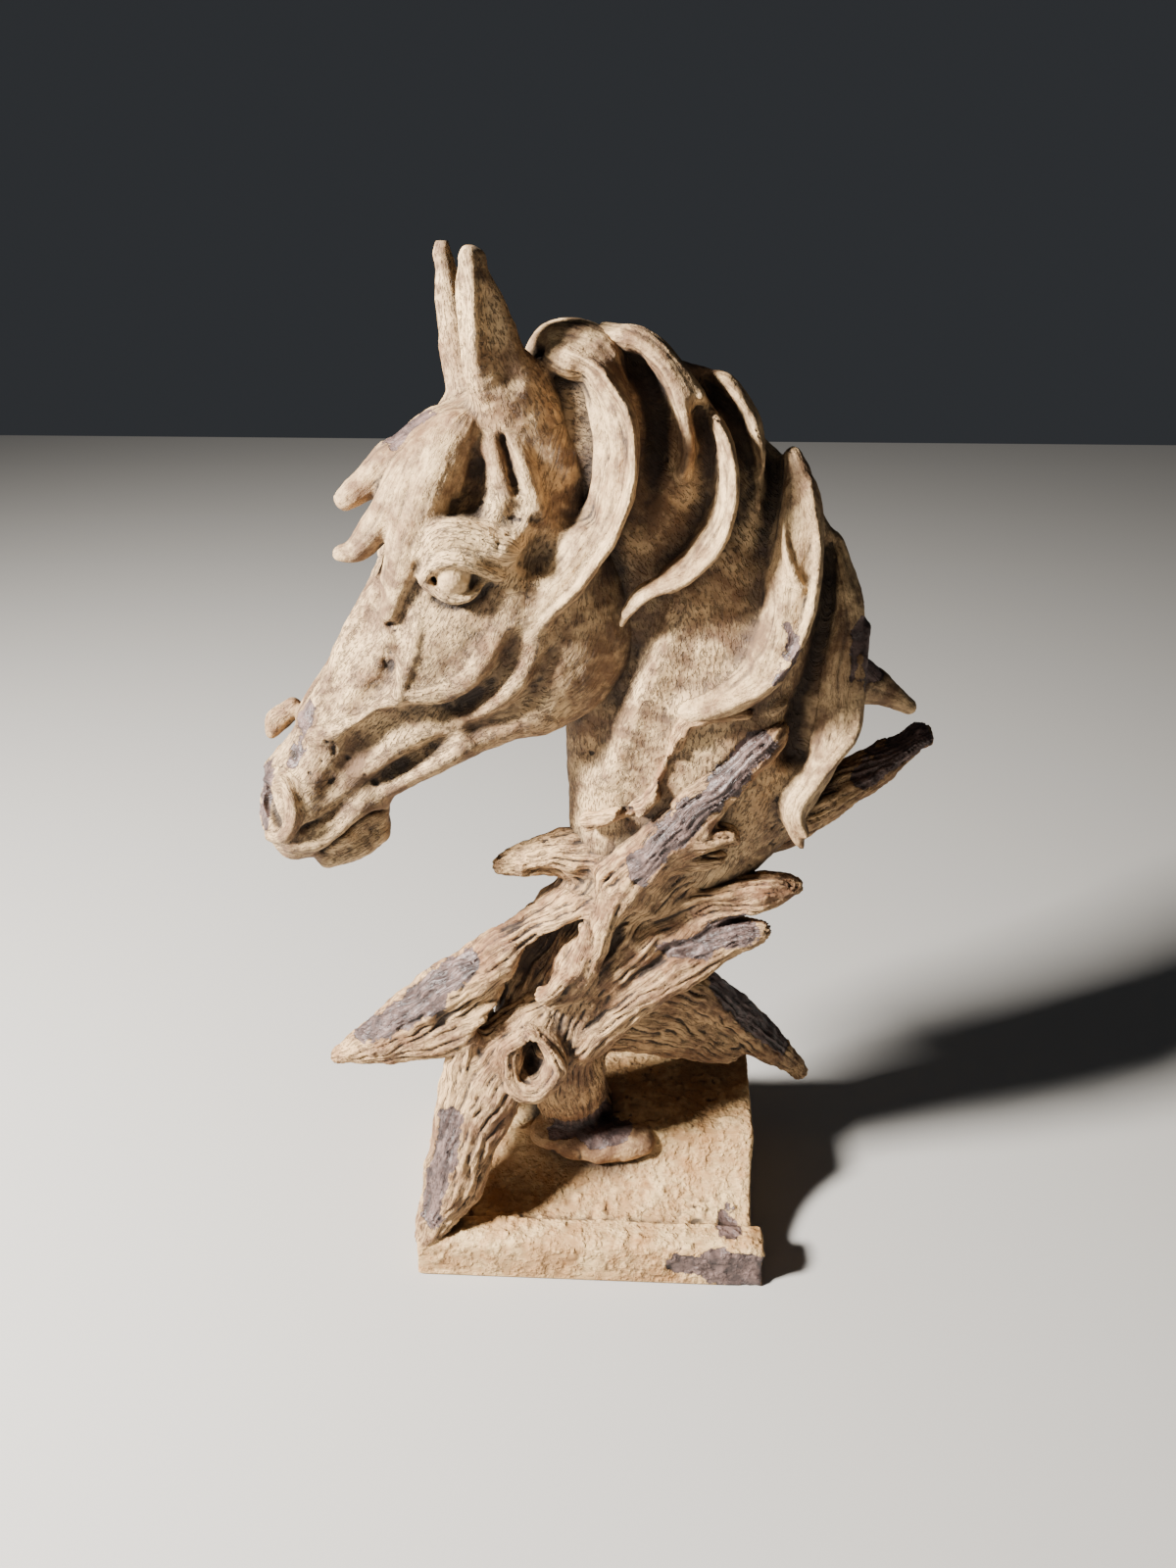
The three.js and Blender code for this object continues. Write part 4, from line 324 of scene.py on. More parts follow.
ROOT = (
    # Trunk from the neck to the foot, and the valley and the twisted ridge down its front
    form(2.2, (12, 0, 45.7, 9.4, 7), (6.7, -1, 37.8, 7.4, 6.4), (1.3, -2, 29.6, 6.3, 5.6),
        (-1.9, -2.4, 19.6, 5.1, 4.8), (-3.9, -2, 10.5, 4.5, 4.4), (-3, 0.2, 2.3, 4, 4)),
    form(1.6, (-4, -1.4, 8.6, 4.3, 4.2), (-2.8, 0.8, 1.2, 4.1, 3.8), (-2.1, 1.6, -2.1, 4.5, 3.8)),
    hollow(1.1, (11.9, -9, 39.5, 0.8, 1.4), (6.7, -9.2, 37.4, 1.1, 2.4), (3.9, -9.2, 33, 1.2, 2.8),
        (2, -9, 28.7, 1.1, 2.6), (0.6, -8.6, 23.1, 0.9, 2)),
    form(1.1, (13.1, -6, 40.3, 1.2, 2), (7.4, -6.8, 39.6, 1.4, 2), (3.3, -7.1, 36.9, 1.3, 2),
        (1.7, -7.3, 32.9, 1.2, 2), (0.2, -7.3, 29.1, 1.2, 2), (-1.5, -7, 24.9, 1.2, 1.8),
        (-4.3, -6.8, 21.6, 1.1, 1.6)),
    # Branch lying up across the neck's foot, with the torn bark under it
    form(1.1, (3.7, -6.4, 37.3, 3.2, 2.8), (8.1, -7.4, 43.5, 2.8, 2.6),
        (13.1, -7.8, 49.5, 2.1, 2.2), (17, -7.6, 53.9, 1.5, 1.8), (18.1, -7.4, 55.1, 1.2, 1.5)),
    form(0.8, (5.3, -7.4, 39.4, 2.1, 1.8), (9.8, -8, 42.9, 2, 1.8), (13.6, -7.8, 43.9, 1.2, 1.4),
        (14.7, -7.6, 43.1, 0.5, 0.9)),
    # Branch that points up and back behind the mane
    form(1.6, (9.1, 0, 37.3, 4.4, 4.4), (17.2, 1, 40.2, 3.7, 4.2), (25, 2.4, 43.6, 2.9, 3.4),
        (31.3, 3.6, 47.2, 1.9, 2.4), (35.5, 4.6, 49.7, 1.3, 1.8)),
    # Forked shelf of wood with its dished top
    form(1.1, (-0.6, -4, 22.2, 2.9, 3.4), (7.1, -4.4, 30, 2.8, 3), (13.4, -4.8, 33.9, 2.4, 2.6),
        (19.1, -5, 35.7, 1.8, 2), (21.8, -5, 36, 0.7, 1)),
    form(1.1, (-0.6, -4, 15.4, 3, 3.4), (5, -4.8, 21.8, 3.1, 3), (10.4, -5.4, 26.7, 2.6, 2.6),
        (15.7, -5.8, 29.9, 1.8, 2), (18, -6, 30.8, 1.3, 1.6)),
    hollow(0.8, (6, -7.6, 31.2, 1.5, 1.4), (10.8, -7.6, 32.8, 1.9, 1.6),
        (15.6, -7.4, 34.6, 1.3, 1.2)),
    # Long limb that reaches out to the front, and its thicker underside
    form(1.3, (3.7, -4, 34.8, 2.9, 3.2), (-3.9, -4.6, 31, 2.5, 3), (-11.1, -5.2, 25.8, 3, 3),
        (-17.9, -5.8, 20.3, 3.4, 3), (-24.1, -6.2, 15.6, 2.4, 2.4), (-30, -6.4, 12.2, 0.8, 0.9)),
    form(1.1, (-9.5, -6.4, 20.9, 1.8, 1.8), (-15.2, -6.8, 17.1, 2.5, 2),
        (-21.1, -6.8, 14.3, 1.8, 1.6), (-26.9, -6.6, 12.4, 0.8, 0.9)),
    # Leg that comes down over the plinth's front slope to the lip
    form(1.3, (-6.6, -4.6, 16.8, 3.4, 3.4), (-11.4, -6, 11.1, 4.4, 3.6),
        (-14.2, -8.6, 3.8, 4.1, 3.4), (-16.6, -11.4, -2.6, 3.3, 2.8), (-19, -13.4, -8, 1.7, 1.8)),
    form(0.8, (-14.2, -6.4, 15.8, 1.8, 2), (-16.2, -7.6, 8.8, 1.7, 2), (-17.7, -9.6, 1.5, 1.6, 2),
        (-19.5, -12.8, -6.4, 1.1, 1.4)),
    # Back wall of the long cavity, the cavity and its rolled edge
    form(1.6, (-3.6, -0.6, 28.6, 3.9, 3), (-7.1, -1, 21.9, 4.4, 3.2), (-7.8, -1.4, 14.3, 4, 3.4)),
    hollow(0.8, (-1.1, -8.2, 31.6, 0.9, 2.6), (-3.4, -8, 29.6, 1.6, 4.4), (-5.9, -8, 27, 2.2, 5.2),
        (-7.5, -8, 23.7, 2, 5.2), (-9.7, -8.4, 20.4, 1.4, 4.2), (-12.4, -8.8, 17.9, 1, 2.8)),
    form(0.5, (-0.5, -7.2, 31.2, 0.8, 1.5), (-1.5, -7.5, 27.3, 0.9, 1.6),
        (-3.7, -7.7, 24.4, 0.9, 1.6), (-5.5, -7.8, 22.8, 0.8, 1.4)),
    # Knot with its hole, and the gap between leg and foot
    form(0.8, (-7.1, -7.4, 17.3, 1, 1.6), (-9.3, -7.8, 15.6, 1, 1.6), (-9.9, -8.2, 13, 1, 1.7),
        (-8.4, -8.6, 10.5, 1, 1.6), (-5.8, -8.5, 10.8, 1.3, 1.8), (-4.1, -8, 13.4, 1.4, 2),
        (-5, -7.4, 16.2, 1.1, 1.7), (-7.1, -7.4, 17.3, 1, 1.6)),
    hollow(0.5, (-7, -9, 16, 1, 3), (-7.4, -9.2, 12.8, 1.2, 3.2)),
    hollow(0.8, (-8.7, -7, 4.1, 1.7, 3), (-10, -9, 0.9, 1.9, 3.4)),
    # Broken stub under the throat and the hollow below it
    form(1.1, (0.9, -2.8, 38.6, 3.2, 3.2), (-4.3, -3.4, 38.3, 2.4, 2.6),
        (-8.2, -3.8, 37.5, 1.5, 1.8), (-10.3, -4, 37, 0.8, 1)),
    hollow(0.8, (-6.9, -6.2, 37.3, 0.7, 1.6), (-5.2, -6.6, 37.1, 1, 2),
        (-3.5, -6.6, 36.6, 0.8, 1.8)),
    # Root that runs back over the plinth's far right edge, and the wood under it
    form(1.3, (3.8, 2.4, 17.7, 3.1, 3.4), (11.2, 5.4, 15, 3.3, 3.4), (17.5, 8, 8.7, 3, 3),
        (22.9, 10, 2.4, 2.2, 2.4), (26.9, 11.4, -2.5, 1.1, 1.3)),
    form(1.6, (1.5, 2.2, 12.5, 4.8, 3.2), (8.9, 4.8, 9.6, 4.2, 3.2), (16.4, 8, 4.6, 2.9, 2.8)),
    # Ragged lower edge of the skin, and the holes under it
    form(0.5, (-0.5, -6.6, 44.5, 0.8, 1.4), (3.6, -7.4, 45.9, 0.8, 1.4), (7.2, -8, 49.5, 0.8, 1.3),
        (9.3, -8.6, 56.8, 0.7, 1.2), (15, -8.6, 57.8, 0.7, 1.2)),
    hollow(0.5, (7.9, -8.6, 49.1, 1.1, 1.5), (8.4, -8.8, 52.3, 0.9, 1.3)),
    hollow(0.5, (3.6, -8, 46, 0.9, 1), (2.8, -8, 44.2, 0.8, 1)),
)

COMPOUND = (
    # Bonding compound round the foot
    form(1.1, (-6.1, -2.4, -1.9, 1.8, 2.2), (-2.1, -3, -2.7, 2.3, 2.5), (2.4, -3.1, -2.9, 2.2, 2.5),
        (6.2, -2.7, -2.2, 1.6, 2)),
)

BARE_HEAD = (
    # Where the paint has come off the head
    form(0.3, (18.4, 0.5, 86.1, 1.1, 3), (20, 0.5, 84.6, 1.4, 3), (21.1, 0.5, 83.2, 1.1, 3)),
    form(0.3, (30.6, 3.4, 60.8, 0.7, 2), (32.6, 3.6, 56.7, 1.2, 2), (34.1, 3.8, 53.6, 1, 2)),
    form(0.3, (35.8, 2.5, 52.8, 0.8, 3), (36.9, 2, 50, 0.9, 3), (37.1, 2, 46.1, 0.8, 3)),
)

BARE_BODY = (
    # Where the paint has come off the mane, the root and the plinth
    form(0.3, (5.2, -9.5, 40.5, 1.8, 3), (8.7, -9.6, 45.3, 1.7, 3), (12.9, -9.4, 50.3, 1.4, 3),
        (16.8, -9, 54.7, 1.3, 3)),
    form(0.3, (18.2, -10.6, 67.2, 0.7, 2), (19.2, -10.6, 64.6, 1.1, 2),
        (18.2, -10.6, 62.4, 0.7, 2)),
    form(0.3, (25.2, -7, 61.1, 0.8, 3), (26, -5.6, 64.7, 1.1, 3), (28.1, -3, 59.6, 1.2, 4),
        (27.1, -3, 66.8, 0.7, 3)),
    form(0.3, (8.1, -8.4, 28.9, 1.1, 3), (11.8, -8.2, 30.1, 1.5, 3), (16, -8, 31.4, 1.7, 3)),
    form(0.3, (-27, -8, 16.2, 1.1, 3), (-21.6, -8.4, 19.9, 1.8, 3), (-16.4, -8, 24.5, 1.8, 3),
        (-13, -7.6, 26.7, 1.1, 3)),
    form(0.3, (-18.6, -14.5, -4.6, 1.2, 3), (-17.1, -13, 1.7, 1.6, 3), (-16, -11, 7.3, 1.4, 3)),
    form(0.3, (15.3, 5, 16.3, 1.9, 4), (20.7, 7, 9.7, 2, 4), (24.4, 8.6, 4.4, 1.3, 4)),
    form(0.3, (29.2, 2, 46.3, 1.5, 4), (35.1, 3, 50.4, 1.7, 4)),
    form(0.3, (-4.1, -2.5, -0.1, 1.1, 4), (0.8, -3, -0.1, 1.7, 4), (4.2, -3, -0.5, 1.1, 4)),
    form(0.3, (10.3, -15.4, -9.8, 1.4, 2), (16.1, -15.4, -10.1, 2.3, 2),
        (19.8, -15.4, -10.5, 2.1, 2)),
    form(0.3, (16.7, -6, 0.4, 1.9, 3), (17.5, -9, -2.1, 1.9, 3), (16.4, -11.6, -6.7, 1.6, 3)),
)


def place_head(rows: np.ndarray) -> np.ndarray:
    """Return stations of the turned head in the statue's frame, in millimetres.

    Args:
        rows: Stations (forwards, towards the near side, up), in percent.

    Returns:
        One (x, y, z) row a station.
    """
    f, w, z = rows.T
    return np.stack([
        (HEAD_AXIS - f * math.cos(HEAD_TURN) + w * math.sin(HEAD_TURN)) * UNIT,
        (-f * math.sin(HEAD_TURN) - w * math.cos(HEAD_TURN)) * UNIT,
        z * UNIT + PLINTH_HEIGHT,
    ], axis=1)


def place_body(rows: np.ndarray) -> np.ndarray:
    """Return stations of the neck, mane and root in the statue's frame, in millimetres."""
    return rows * UNIT + np.array([0.0, 0.0, PLINTH_HEIGHT])


def spine(rows: np.ndarray) -> np.ndarray:
    """Return a stroke's stations joined by a smooth curve through them.

    Args:
        rows: One row a station.

    Returns:
        SPAN_STEPS rows for each span, and the last station.
    """
    before = np.vstack([rows[:1], rows[:-2]])
    start, end = rows[:-1], rows[1:]
    after = np.vstack([rows[2:], rows[-1:]])
    t = (np.arange(SPAN_STEPS) / SPAN_STEPS)[:, None, None]
    curve = 0.5 * (2 * start + (end - before) * t + (2 * before - 5 * start + 4 * end - after) * t**2
                   + (3 * start - before - 3 * end + after) * t**3)
    return np.vstack([curve.transpose(1, 0, 2).reshape(-1, rows.shape[1]), rows[-1:]])


class Laid:
    """A stroke placed in the statue's frame, ready to be measured from.

    Attributes:
        points: Samples along the stroke, in millimetres.
        radii: Half width and half thickness at each sample.
        grain: What its surface is carved as.
        number: A number of its own, which keeps its carving unlike its neighbours'.
    """

    def __init__(self, stroke: Stroke, turn: Turn, grain: Grain, number: int,
                 flip: int = 1, drop: float = 0.0):
        """Place the stroke.

        Args:
            stroke: The stroke in percent.
            turn: The frame of its stations.
            grain: What its surface is carved as.
            number: A number of its own.
            flip: -1 for a mirror image.
            drop: Height that is taken off every station, in percent.
        """
        rows = spine(np.array(stroke.rows, float))
        rows[:, 1] *= flip
        rows[:, 2] -= drop
        place, side = {
            Turn.HEAD: (place_head, (math.sin(HEAD_TURN), -math.cos(HEAD_TURN), 0.0)),
            Turn.BODY: (place_body, (0.0, 1.0, 0.0)),
        }[turn]
        self.points = place(rows[:, :3])
        self.radii = rows[:, 3:] * UNIT
        self.fillet, self.cut = stroke.fillet * UNIT, stroke.cut
        self.grain, self.number = grain, number
        step = np.diff(self.points, axis=0)
        self.length = np.linalg.norm(step, axis=1)
        self.along = step / self.length[:, None]
        side = np.array(side)
        deep = side - self.along * (self.along @ side)[:, None]
        self.deep = deep / np.linalg.norm(deep, axis=1)[:, None]
        self.wide = np.cross(self.along, self.deep)
        self.start_run = np.concatenate([[0.0], np.cumsum(self.length)])

    def reach(self, n: int, margin: float) -> tuple[np.ndarray, np.ndarray]:
        """Return the corners of the box round one length of the stroke, with a margin."""
        ends, radius = self.points[n:n + 2], self.radii[n:n + 2].max() + margin
        return ends.min(0) - radius, ends.max(0) + radius

    def measure(self, n: int, x: np.ndarray, y: np.ndarray, z: np.ndarray) -> tuple:
        """Measure points against one length of the stroke.

        Args:
            n: Number of the length.
            x: Coordinates that broadcast with y and z.
            y: See x.
            z: See x.

        Returns:
            Signed distance, run along the length, the offsets across and in depth as
            shares of the radii there, and the mean radius.
        """
        at, along, wide, deep = self.points[n], self.along[n], self.wide[n], self.deep[n]
        dx, dy, dz = x - at[0], y - at[1], z - at[2]
        run = dx * along[0] + dy * along[1] + dz * along[2]
        t = np.clip(run / self.length[n], 0, 1)
        (a0, b0), (a1, b1) = self.radii[n:n + 2]
        a, b = a0 + (a1 - a0) * t, b0 + (b1 - b0) * t
        across = (dx * wide[0] + dy * wide[1] + dz * wide[2]) / a
        depth = (dx * deep[0] + dy * deep[1] + dz * deep[2]) / b
        over = (run - t * self.length[n]) / a
        level = across**2 + over**2
        rho = np.sqrt(level + depth**2)
        distance = rho * (rho - 1) / np.sqrt(level / a**2 + depth**2 / b**2 + 1e-12)
        return np.where(rho < 1e-3, -np.minimum(a, b), distance), run, across, depth, np.sqrt(a * b)


class Clay:
    """Block of sample points that holds the signed distance to a skin, in millimetres."""

    def __init__(self, low: np.ndarray, high: np.ndarray, cell: float):
        """Start an empty block.

        Args:
            low: Lowest corner.
            high: Highest corner.
            cell: Distance between sample points.
        """
        self.low, self.cell = np.asarray(low, float), cell
        self.count = np.ceil((np.asarray(high) - low) / cell).astype(int) + 1
        self.values = np.full(self.count, 10 * cell, np.float32)

    def window(self, low: np.ndarray, high: np.ndarray) -> tuple[slice, ...]:
        """Return the slices of the block that a box covers."""
        start = np.clip(np.floor((low - self.low) / self.cell).astype(int), 1, self.count - 2)
        stop = np.clip(np.ceil((high - self.low) / self.cell).astype(int) + 1, 1, self.count - 2)
        return tuple(slice(a, max(a, b)) for a, b in zip(start, stop))

    def axes(self, window: tuple[slice, ...]) -> list[np.ndarray]:
        """Return x, y and z of a window's sample points, shaped so that they broadcast."""
        lines = [self.low[n] + np.arange(w.start, w.stop, dtype=np.float32) * self.cell
                 for n, w in enumerate(window)]
        return [line.astype(np.float32).reshape([-1 if n == m else 1 for m in range(3)])
                for n, line in enumerate(lines)]

    def lay(self, laid: Laid) -> None:
        """Join or cut a stroke in the part of the block that it can touch."""
        margin = max(laid.fillet, 4.0) + 2 * self.cell
        spans = [laid.reach(n, margin) for n in range(len(laid.length))]
        lows, highs = zip(*spans)
        whole = self.window(np.min(lows, axis=0), np.max(highs, axis=0))
        distance = np.full([w.stop - w.start for w in whole], FAR_OUT, np.float32)
        if not distance.size:
            return
        for n, (low, high) in enumerate(spans):
            part = self.window(low, high)
            inner = tuple(slice(p.start - w.start, p.stop - w.start) for p, w in zip(part, whole))
            found = laid.measure(n, *self.axes(part))[0]
            np.minimum(distance[inner], found, out=distance[inner])
        old = self.values[whole]
        sign = -1 if laid.cut else 1
        overlap = np.maximum(laid.fillet - np.abs(sign * old - distance), 0)
        self.values[whole] = sign * (np.minimum(sign * old, distance) - overlap**2 / (4 * laid.fillet))

    def skin(self) -> "Skin":
        """Return the skin, with one point in each cell that it crosses, joined in squares."""
        inside = self.values < 0
        corners = [tuple(slice(c >> n & 1, self.count[n] - 1 + (c >> n & 1)) for n in range(3))
                   for c in range(8)]
        total = sum(inside[c].astype(np.int8) for c in corners)
        cells = np.argwhere((total > 0) & (total < 8))
        number = np.full(self.count, -1, np.int64)
        number[tuple(cells.T)] = np.arange(len(cells))
        held = np.stack([
            self.values[cells[:, 0] + (c & 1), cells[:, 1] + (c >> 1 & 1), cells[:, 2] + (c >> 2)]
            for c in range(8)
        ])
        sums, crossings = np.zeros((len(cells), 3)), np.zeros(len(cells))
        for c in range(8):
            for axis in range(3):
                if c >> axis & 1:
                    continue
                p, q = held[c], held[c | 1 << axis]
                crossed = (p < 0) != (q < 0)
                t = np.where(crossed, p / np.where(crossed, p - q, 1), 0)
                for n in range(3):
                    sums[:, n] += crossed * (t if n == axis else c >> n & 1)
                crossings += crossed
        points = self.low + (cells + sums / crossings[:, None]) * self.cell
        quads = []
        for axis in range(3):
            b, c = (axis + 1) % 3, (axis + 2) % 3
            first = [slice(1, -1)] * 3
            first[axis] = slice(0, -1)
            second = list(first)
            second[axis] = slice(1, None)
            here, there = inside[tuple(first)], inside[tuple(second)]
            spots = np.argwhere(here != there) + [0 if n == axis else 1 for n in range(3)]
            out = inside[tuple(spots.T)]
            ring = []
            for back_b, back_c in ((0, 0), (1, 0), (1, 1), (0, 1)):
                spot = spots.copy()
                spot[:, b] -= back_b
                spot[:, c] -= back_c
                ring.append(number[tuple(spot.T)])
            quad = np.stack(ring, axis=1)
            quad[~out] = quad[~out][:, ::-1]
            quads.append(quad)
        return Skin(points, np.vstack(quads)).main()


def noise(points: np.ndarray, size: float, seed: int) -> np.ndarray:
    """Return a smooth random value for each point.

    Args:
        points: One row a point.
        size: Distance over which the value changes.
        seed: Number that picks the pattern.

    Returns:
        Values from -1 to 1.
    """
    spot = points / size + seed * 17.31
    cell = np.floor(spot).astype(np.int64)
    part = spot - cell
    part = part * part * (3 - 2 * part)
    total = np.zeros(len(points))
    for c in range(8):
        corner = np.array([c & 1, c >> 1 & 1, c >> 2])
        code = (cell + corner) @ np.array([73856093, 19349663, 83492791]) + seed * 7919
        code = ((code ^ (code >> 13)) * 1274126177) & 0x7FFFFFFF
        code = ((code ^ (code >> 15)) * 668265263) & 0x7FFFFFFF
        total += (code / 0x3FFFFFFF - 1) * np.where(corner, part, 1 - part).prod(axis=1)
    return total


def fractal(points: np.ndarray, size: float, seed: int, octaves: int = 3) -> np.ndarray:
    """Return noise with finer noise on it, each octave half as large as the one before."""
    return sum(noise(points, size / 2**n, seed + n) / 2**n for n in range(octaves)) / (2 - 0.5**(octaves - 1))


def ease(value: np.ndarray, low: float, high: float) -> np.ndarray:
    """Return 0 below low, 1 above high, and a smooth step between."""
    t = np.clip((value - low) / (high - low), 0, 1)
    return t * t * (3 - 2 * t)


class Skin:
    """Mesh of squares on its way to becoming a Blender object.

    Attributes:
        points: One row a point, in millimetres.
        quads: Four point numbers a face.
        marks: Values by name that the materials read, one a point or one row a point.
    """

    def __init__(self, points: np.ndarray, quads: np.ndarray):
        """Take the points and faces as they are."""
        self.points, self.quads = points, quads
        self.marks: dict[str, np.ndarray] = {}

    def edges(self) -> np.ndarray:
        """Return each edge once, as two point numbers."""
        ring = np.vstack([self.quads[:, [n, (n + 1) % 4]] for n in range(4)])
        ring.sort(axis=1)
        code = np.unique(ring[:, 0] * len(self.points) + ring[:, 1])
        return np.stack([code // len(self.points), code % len(self.points)], axis=1)

    def main(self) -> "Skin":
        """Return the skins that hold a fair share of the points, without specks and bubbles."""
        start, end = self.edges().T
        label = np.arange(len(self.points))
        while True:
            low, high = np.sort([label[start], label[end]], axis=0)
            apart = low != high
            if not apart.any():
                break
            np.minimum.at(label, high[apart], low[apart])
            while (label[label] != label).any():
                label = label[label]
        keep = np.bincount(label)[label] > MAIN_SHARE * len(label)
        number = np.cumsum(keep) - 1
        return Skin(self.points[keep], number[self.quads[keep[self.quads[:, 0]]]])

    def spread(self, values: np.ndarray, edges: np.ndarray, rounds: int, share: float = 0.5) -> np.ndarray:
        """Return values of the points, each drawn towards the mean of its neighbours.

        Args:
            values: One value or one row a point.
            edges: Two point numbers an edge.
            rounds: How many times.
            share: How far towards the mean.

        Returns:
            Values in the same shape.
        """
        values = values.reshape(len(values), -1).astype(float)
        count = len(values)
        degree = np.bincount(edges.ravel(), minlength=count).clip(1)
        for _ in range(rounds):
            fresh = np.empty_like(values)
            for n in range(values.shape[1]):
                near = (np.bincount(edges[:, 0], values[edges[:, 1], n], count)
                        + np.bincount(edges[:, 1], values[edges[:, 0], n], count))
                fresh[:, n] = values[:, n] * (1 - share) + near / degree * share
            values = fresh
        return values.squeeze()

    def normals(self) -> np.ndarray:
        """Return the outward direction at each point."""
        a, b, c, d = (self.points[self.quads[:, n]] for n in range(4))
        face = np.cross(c - a, d - b)
        total = np.stack([sum(np.bincount(self.quads[:, n], face[:, m], len(self.points)) for n in range(4))
                          for m in range(3)], axis=1)
        return total / np.linalg.norm(total, axis=1).clip(1e-9)[:, None]


@dataclass(frozen=True)
class Carving:
    """How deep each kind of surface is carved, in millimetres."""

    lock_width: float = 9.0
    lock_depth: float = 0.35
    strand_width: float = 4.2
    strand_depth: float = 0.28
    wood_width: float = 5.0
    wood_depth: float = 1.1
    crack_depth: float = 1.8
    lump_depth: float = 0.9
    skin_depth: float = 0.5
    pit_depth: float = 0.8
    blend: float = 1.2
    dashes: dict = field(default_factory=lambda: {
        Grain.SKIN: 1.0, Grain.HAIR: 0.35, Grain.WOOD: 1.0, Grain.LUMP: 0.2})
    sways: dict = field(default_factory=lambda: {
        Grain.SKIN: 0.7, Grain.HAIR: 0.8, Grain.WOOD: 2.4, Grain.LUMP: 1.0})

    def ridges(self, laid: Laid, place: dict[str, np.ndarray], width: float, seed: int) -> np.ndarray:
        """Return rounded ridges that run along a stroke, from 0 in a groove to 1 on a ridge."""
        count = max(2, round(math.tau * np.sqrt(laid.radii.prod(axis=1)).max() / width))
        angle, run = place["angle"], place["run"]
        ring = np.stack([np.cos(angle) * 1.6, np.sin(angle) * 1.6, run / (5 * width)], axis=1)
        sway = 0.75 * noise(ring, 1.0, seed) + 0.35 * noise(ring * 2.3, 1.0, seed + 5)
        return np.abs(np.sin(math.pi * (count * angle / math.tau + sway)))

    def hair(self, laid: Laid, place: dict[str, np.ndarray]) -> tuple[np.ndarray, np.ndarray]:
        """Return the height and the groove depth of a lock of hair."""
        fine = np.clip(place["radius"] / 5, 0.25, 1)
        lock = self.ridges(laid, place, self.lock_width, laid.number * 3)
        strand = self.ridges(laid, place, self.strand_width, laid.number * 3 + 1)
        points = place["points"]
        height = ((lock - 0.6) * self.lock_depth * fine + (strand - 0.6) * self.strand_depth * fine
                  + fractal(points, 9, 3) * 0.3 + fractal(points, 3.2, 9) * 0.2)
        return height, (1 - strand) * 0.6 + (1 - lock) * 0.4

    def wood(self, laid: Laid, place: dict[str, np.ndarray]) -> tuple[np.ndarray, np.ndarray]:
        """Return the height and the groove depth of weathered wood."""
        angle, run, points = place["angle"], place["run"], place["points"]
        turned = dict(place, angle=angle + run * 0.006)
        ridge = self.ridges(laid, turned, self.wood_width, laid.number * 3)
        fine = self.ridges(laid, turned, self.wood_width * 0.55, laid.number * 3 + 1)
        ring = np.stack([np.cos(angle) * place["radius"], np.sin(angle) * place["radius"], run / 9], axis=1)
        crack = (ease(noise(ring, 2.6, laid.number + 40), 0.35, 0.75)
                 * ease(fractal(points, 16, 77), -0.1, 0.4))
        height = ((ridge - 0.6) * self.wood_depth + (fine - 0.6) * self.wood_depth * 0.5
                  - crack * self.crack_depth + fractal(points, 11, 31) * 0.7)
        return height, np.maximum((1 - ridge) * 0.5 + (1 - fine) * 0.3, crack)

    def skin(self, laid: Laid, place: dict[str, np.ndarray]) -> tuple[np.ndarray, np.ndarray]:
        """Return the height and the groove depth of short-haired skin."""
        points = place["points"]
        coarse, close = fractal(points, 10, 3), fractal(points, 3.2, 9)
        pit = ease(fractal(points, 4.2, 17), 0.3, 0.55) * ease(fractal(points, 22, 19), 0.05, 0.4)
        return (coarse * self.skin_depth + close * 0.3 - pit * self.pit_depth,
                np.maximum(ease(-close, 0.1, 0.7) * 0.5, pit))

    def lump(self, laid: Laid, place: dict[str, np.ndarray]) -> tuple[np.ndarray, np.ndarray]:
        """Return the height and the groove depth of smeared bonding compound."""
        value = fractal(place["points"], 6, 51)
        return value * self.lump_depth, ease(-value, 0.1, 0.6)

    def carve(self, skin: Skin, forms: list[Laid]) -> None:
        """Carve a skin along the strokes that made it, and mark where each point lies on them.

        Args:
            skin: The skin, which is changed.
            forms: The strokes that were laid on.
        """
        cutters = {Grain.HAIR: self.hair, Grain.WOOD: self.wood, Grain.SKIN: self.skin, Grain.LUMP: self.lump}
        count = len(skin.points)
        best, grain = np.full(count, FAR_OUT), np.zeros((count, 3))
        dash, sway = np.zeros(count), np.zeros(count)
        found = []
        for laid in forms:
            spans = [laid.reach(n, 6.0) for n in range(len(laid.length))]
            low = np.min([span[0] for span in spans], axis=0)
            high = np.max([span[1] for span in spans], axis=0)
            near = np.flatnonzero(((skin.points > low) & (skin.points < high)).all(axis=1))
            if not len(near):
                continue
            x, y, z = skin.points[near].T
            distance, total = np.full(len(near), FAR_OUT), np.zeros((5, len(near)))
            for n in range(len(laid.length)):
                gap, along, across, depth, size = laid.measure(n, x, y, z)
                distance = np.minimum(distance, gap)
                reach = laid.start_run[n] + np.clip(along, -laid.length[n], 2 * laid.length[n])
                total += np.exp(-np.clip(gap, -20, 40) / self.blend) * np.stack(
                    [np.ones(len(near)), reach, across, -depth, size])
            run, across, facing, radius = total[1:] / total[0]
            angle = np.arctan2(across, facing)
            place = {"angle": angle, "run": run, "radius": radius, "points": skin.points[near]}
            height, groove = cutters[laid.grain](laid, place)
            found.append((near, distance, height, groove))
            closest = distance < best[near]
            mine = near[closest]
            best[mine] = distance[closest]
            grain[mine] = np.stack([np.cos(angle) * radius, np.sin(angle) * radius, run], axis=1)[closest]
            dash[mine] = self.dashes[laid.grain] * ease(laid.start_run[-1:], 3, 12)
            sway[mine] = self.sways[laid.grain]
        weight, heights, grooves = np.full(count, 1e-9), np.zeros(count), np.zeros(count)
        for near, distance, height, groove in found:
            share = np.exp(-(distance - best[near]) / self.blend)
            weight[near] += share
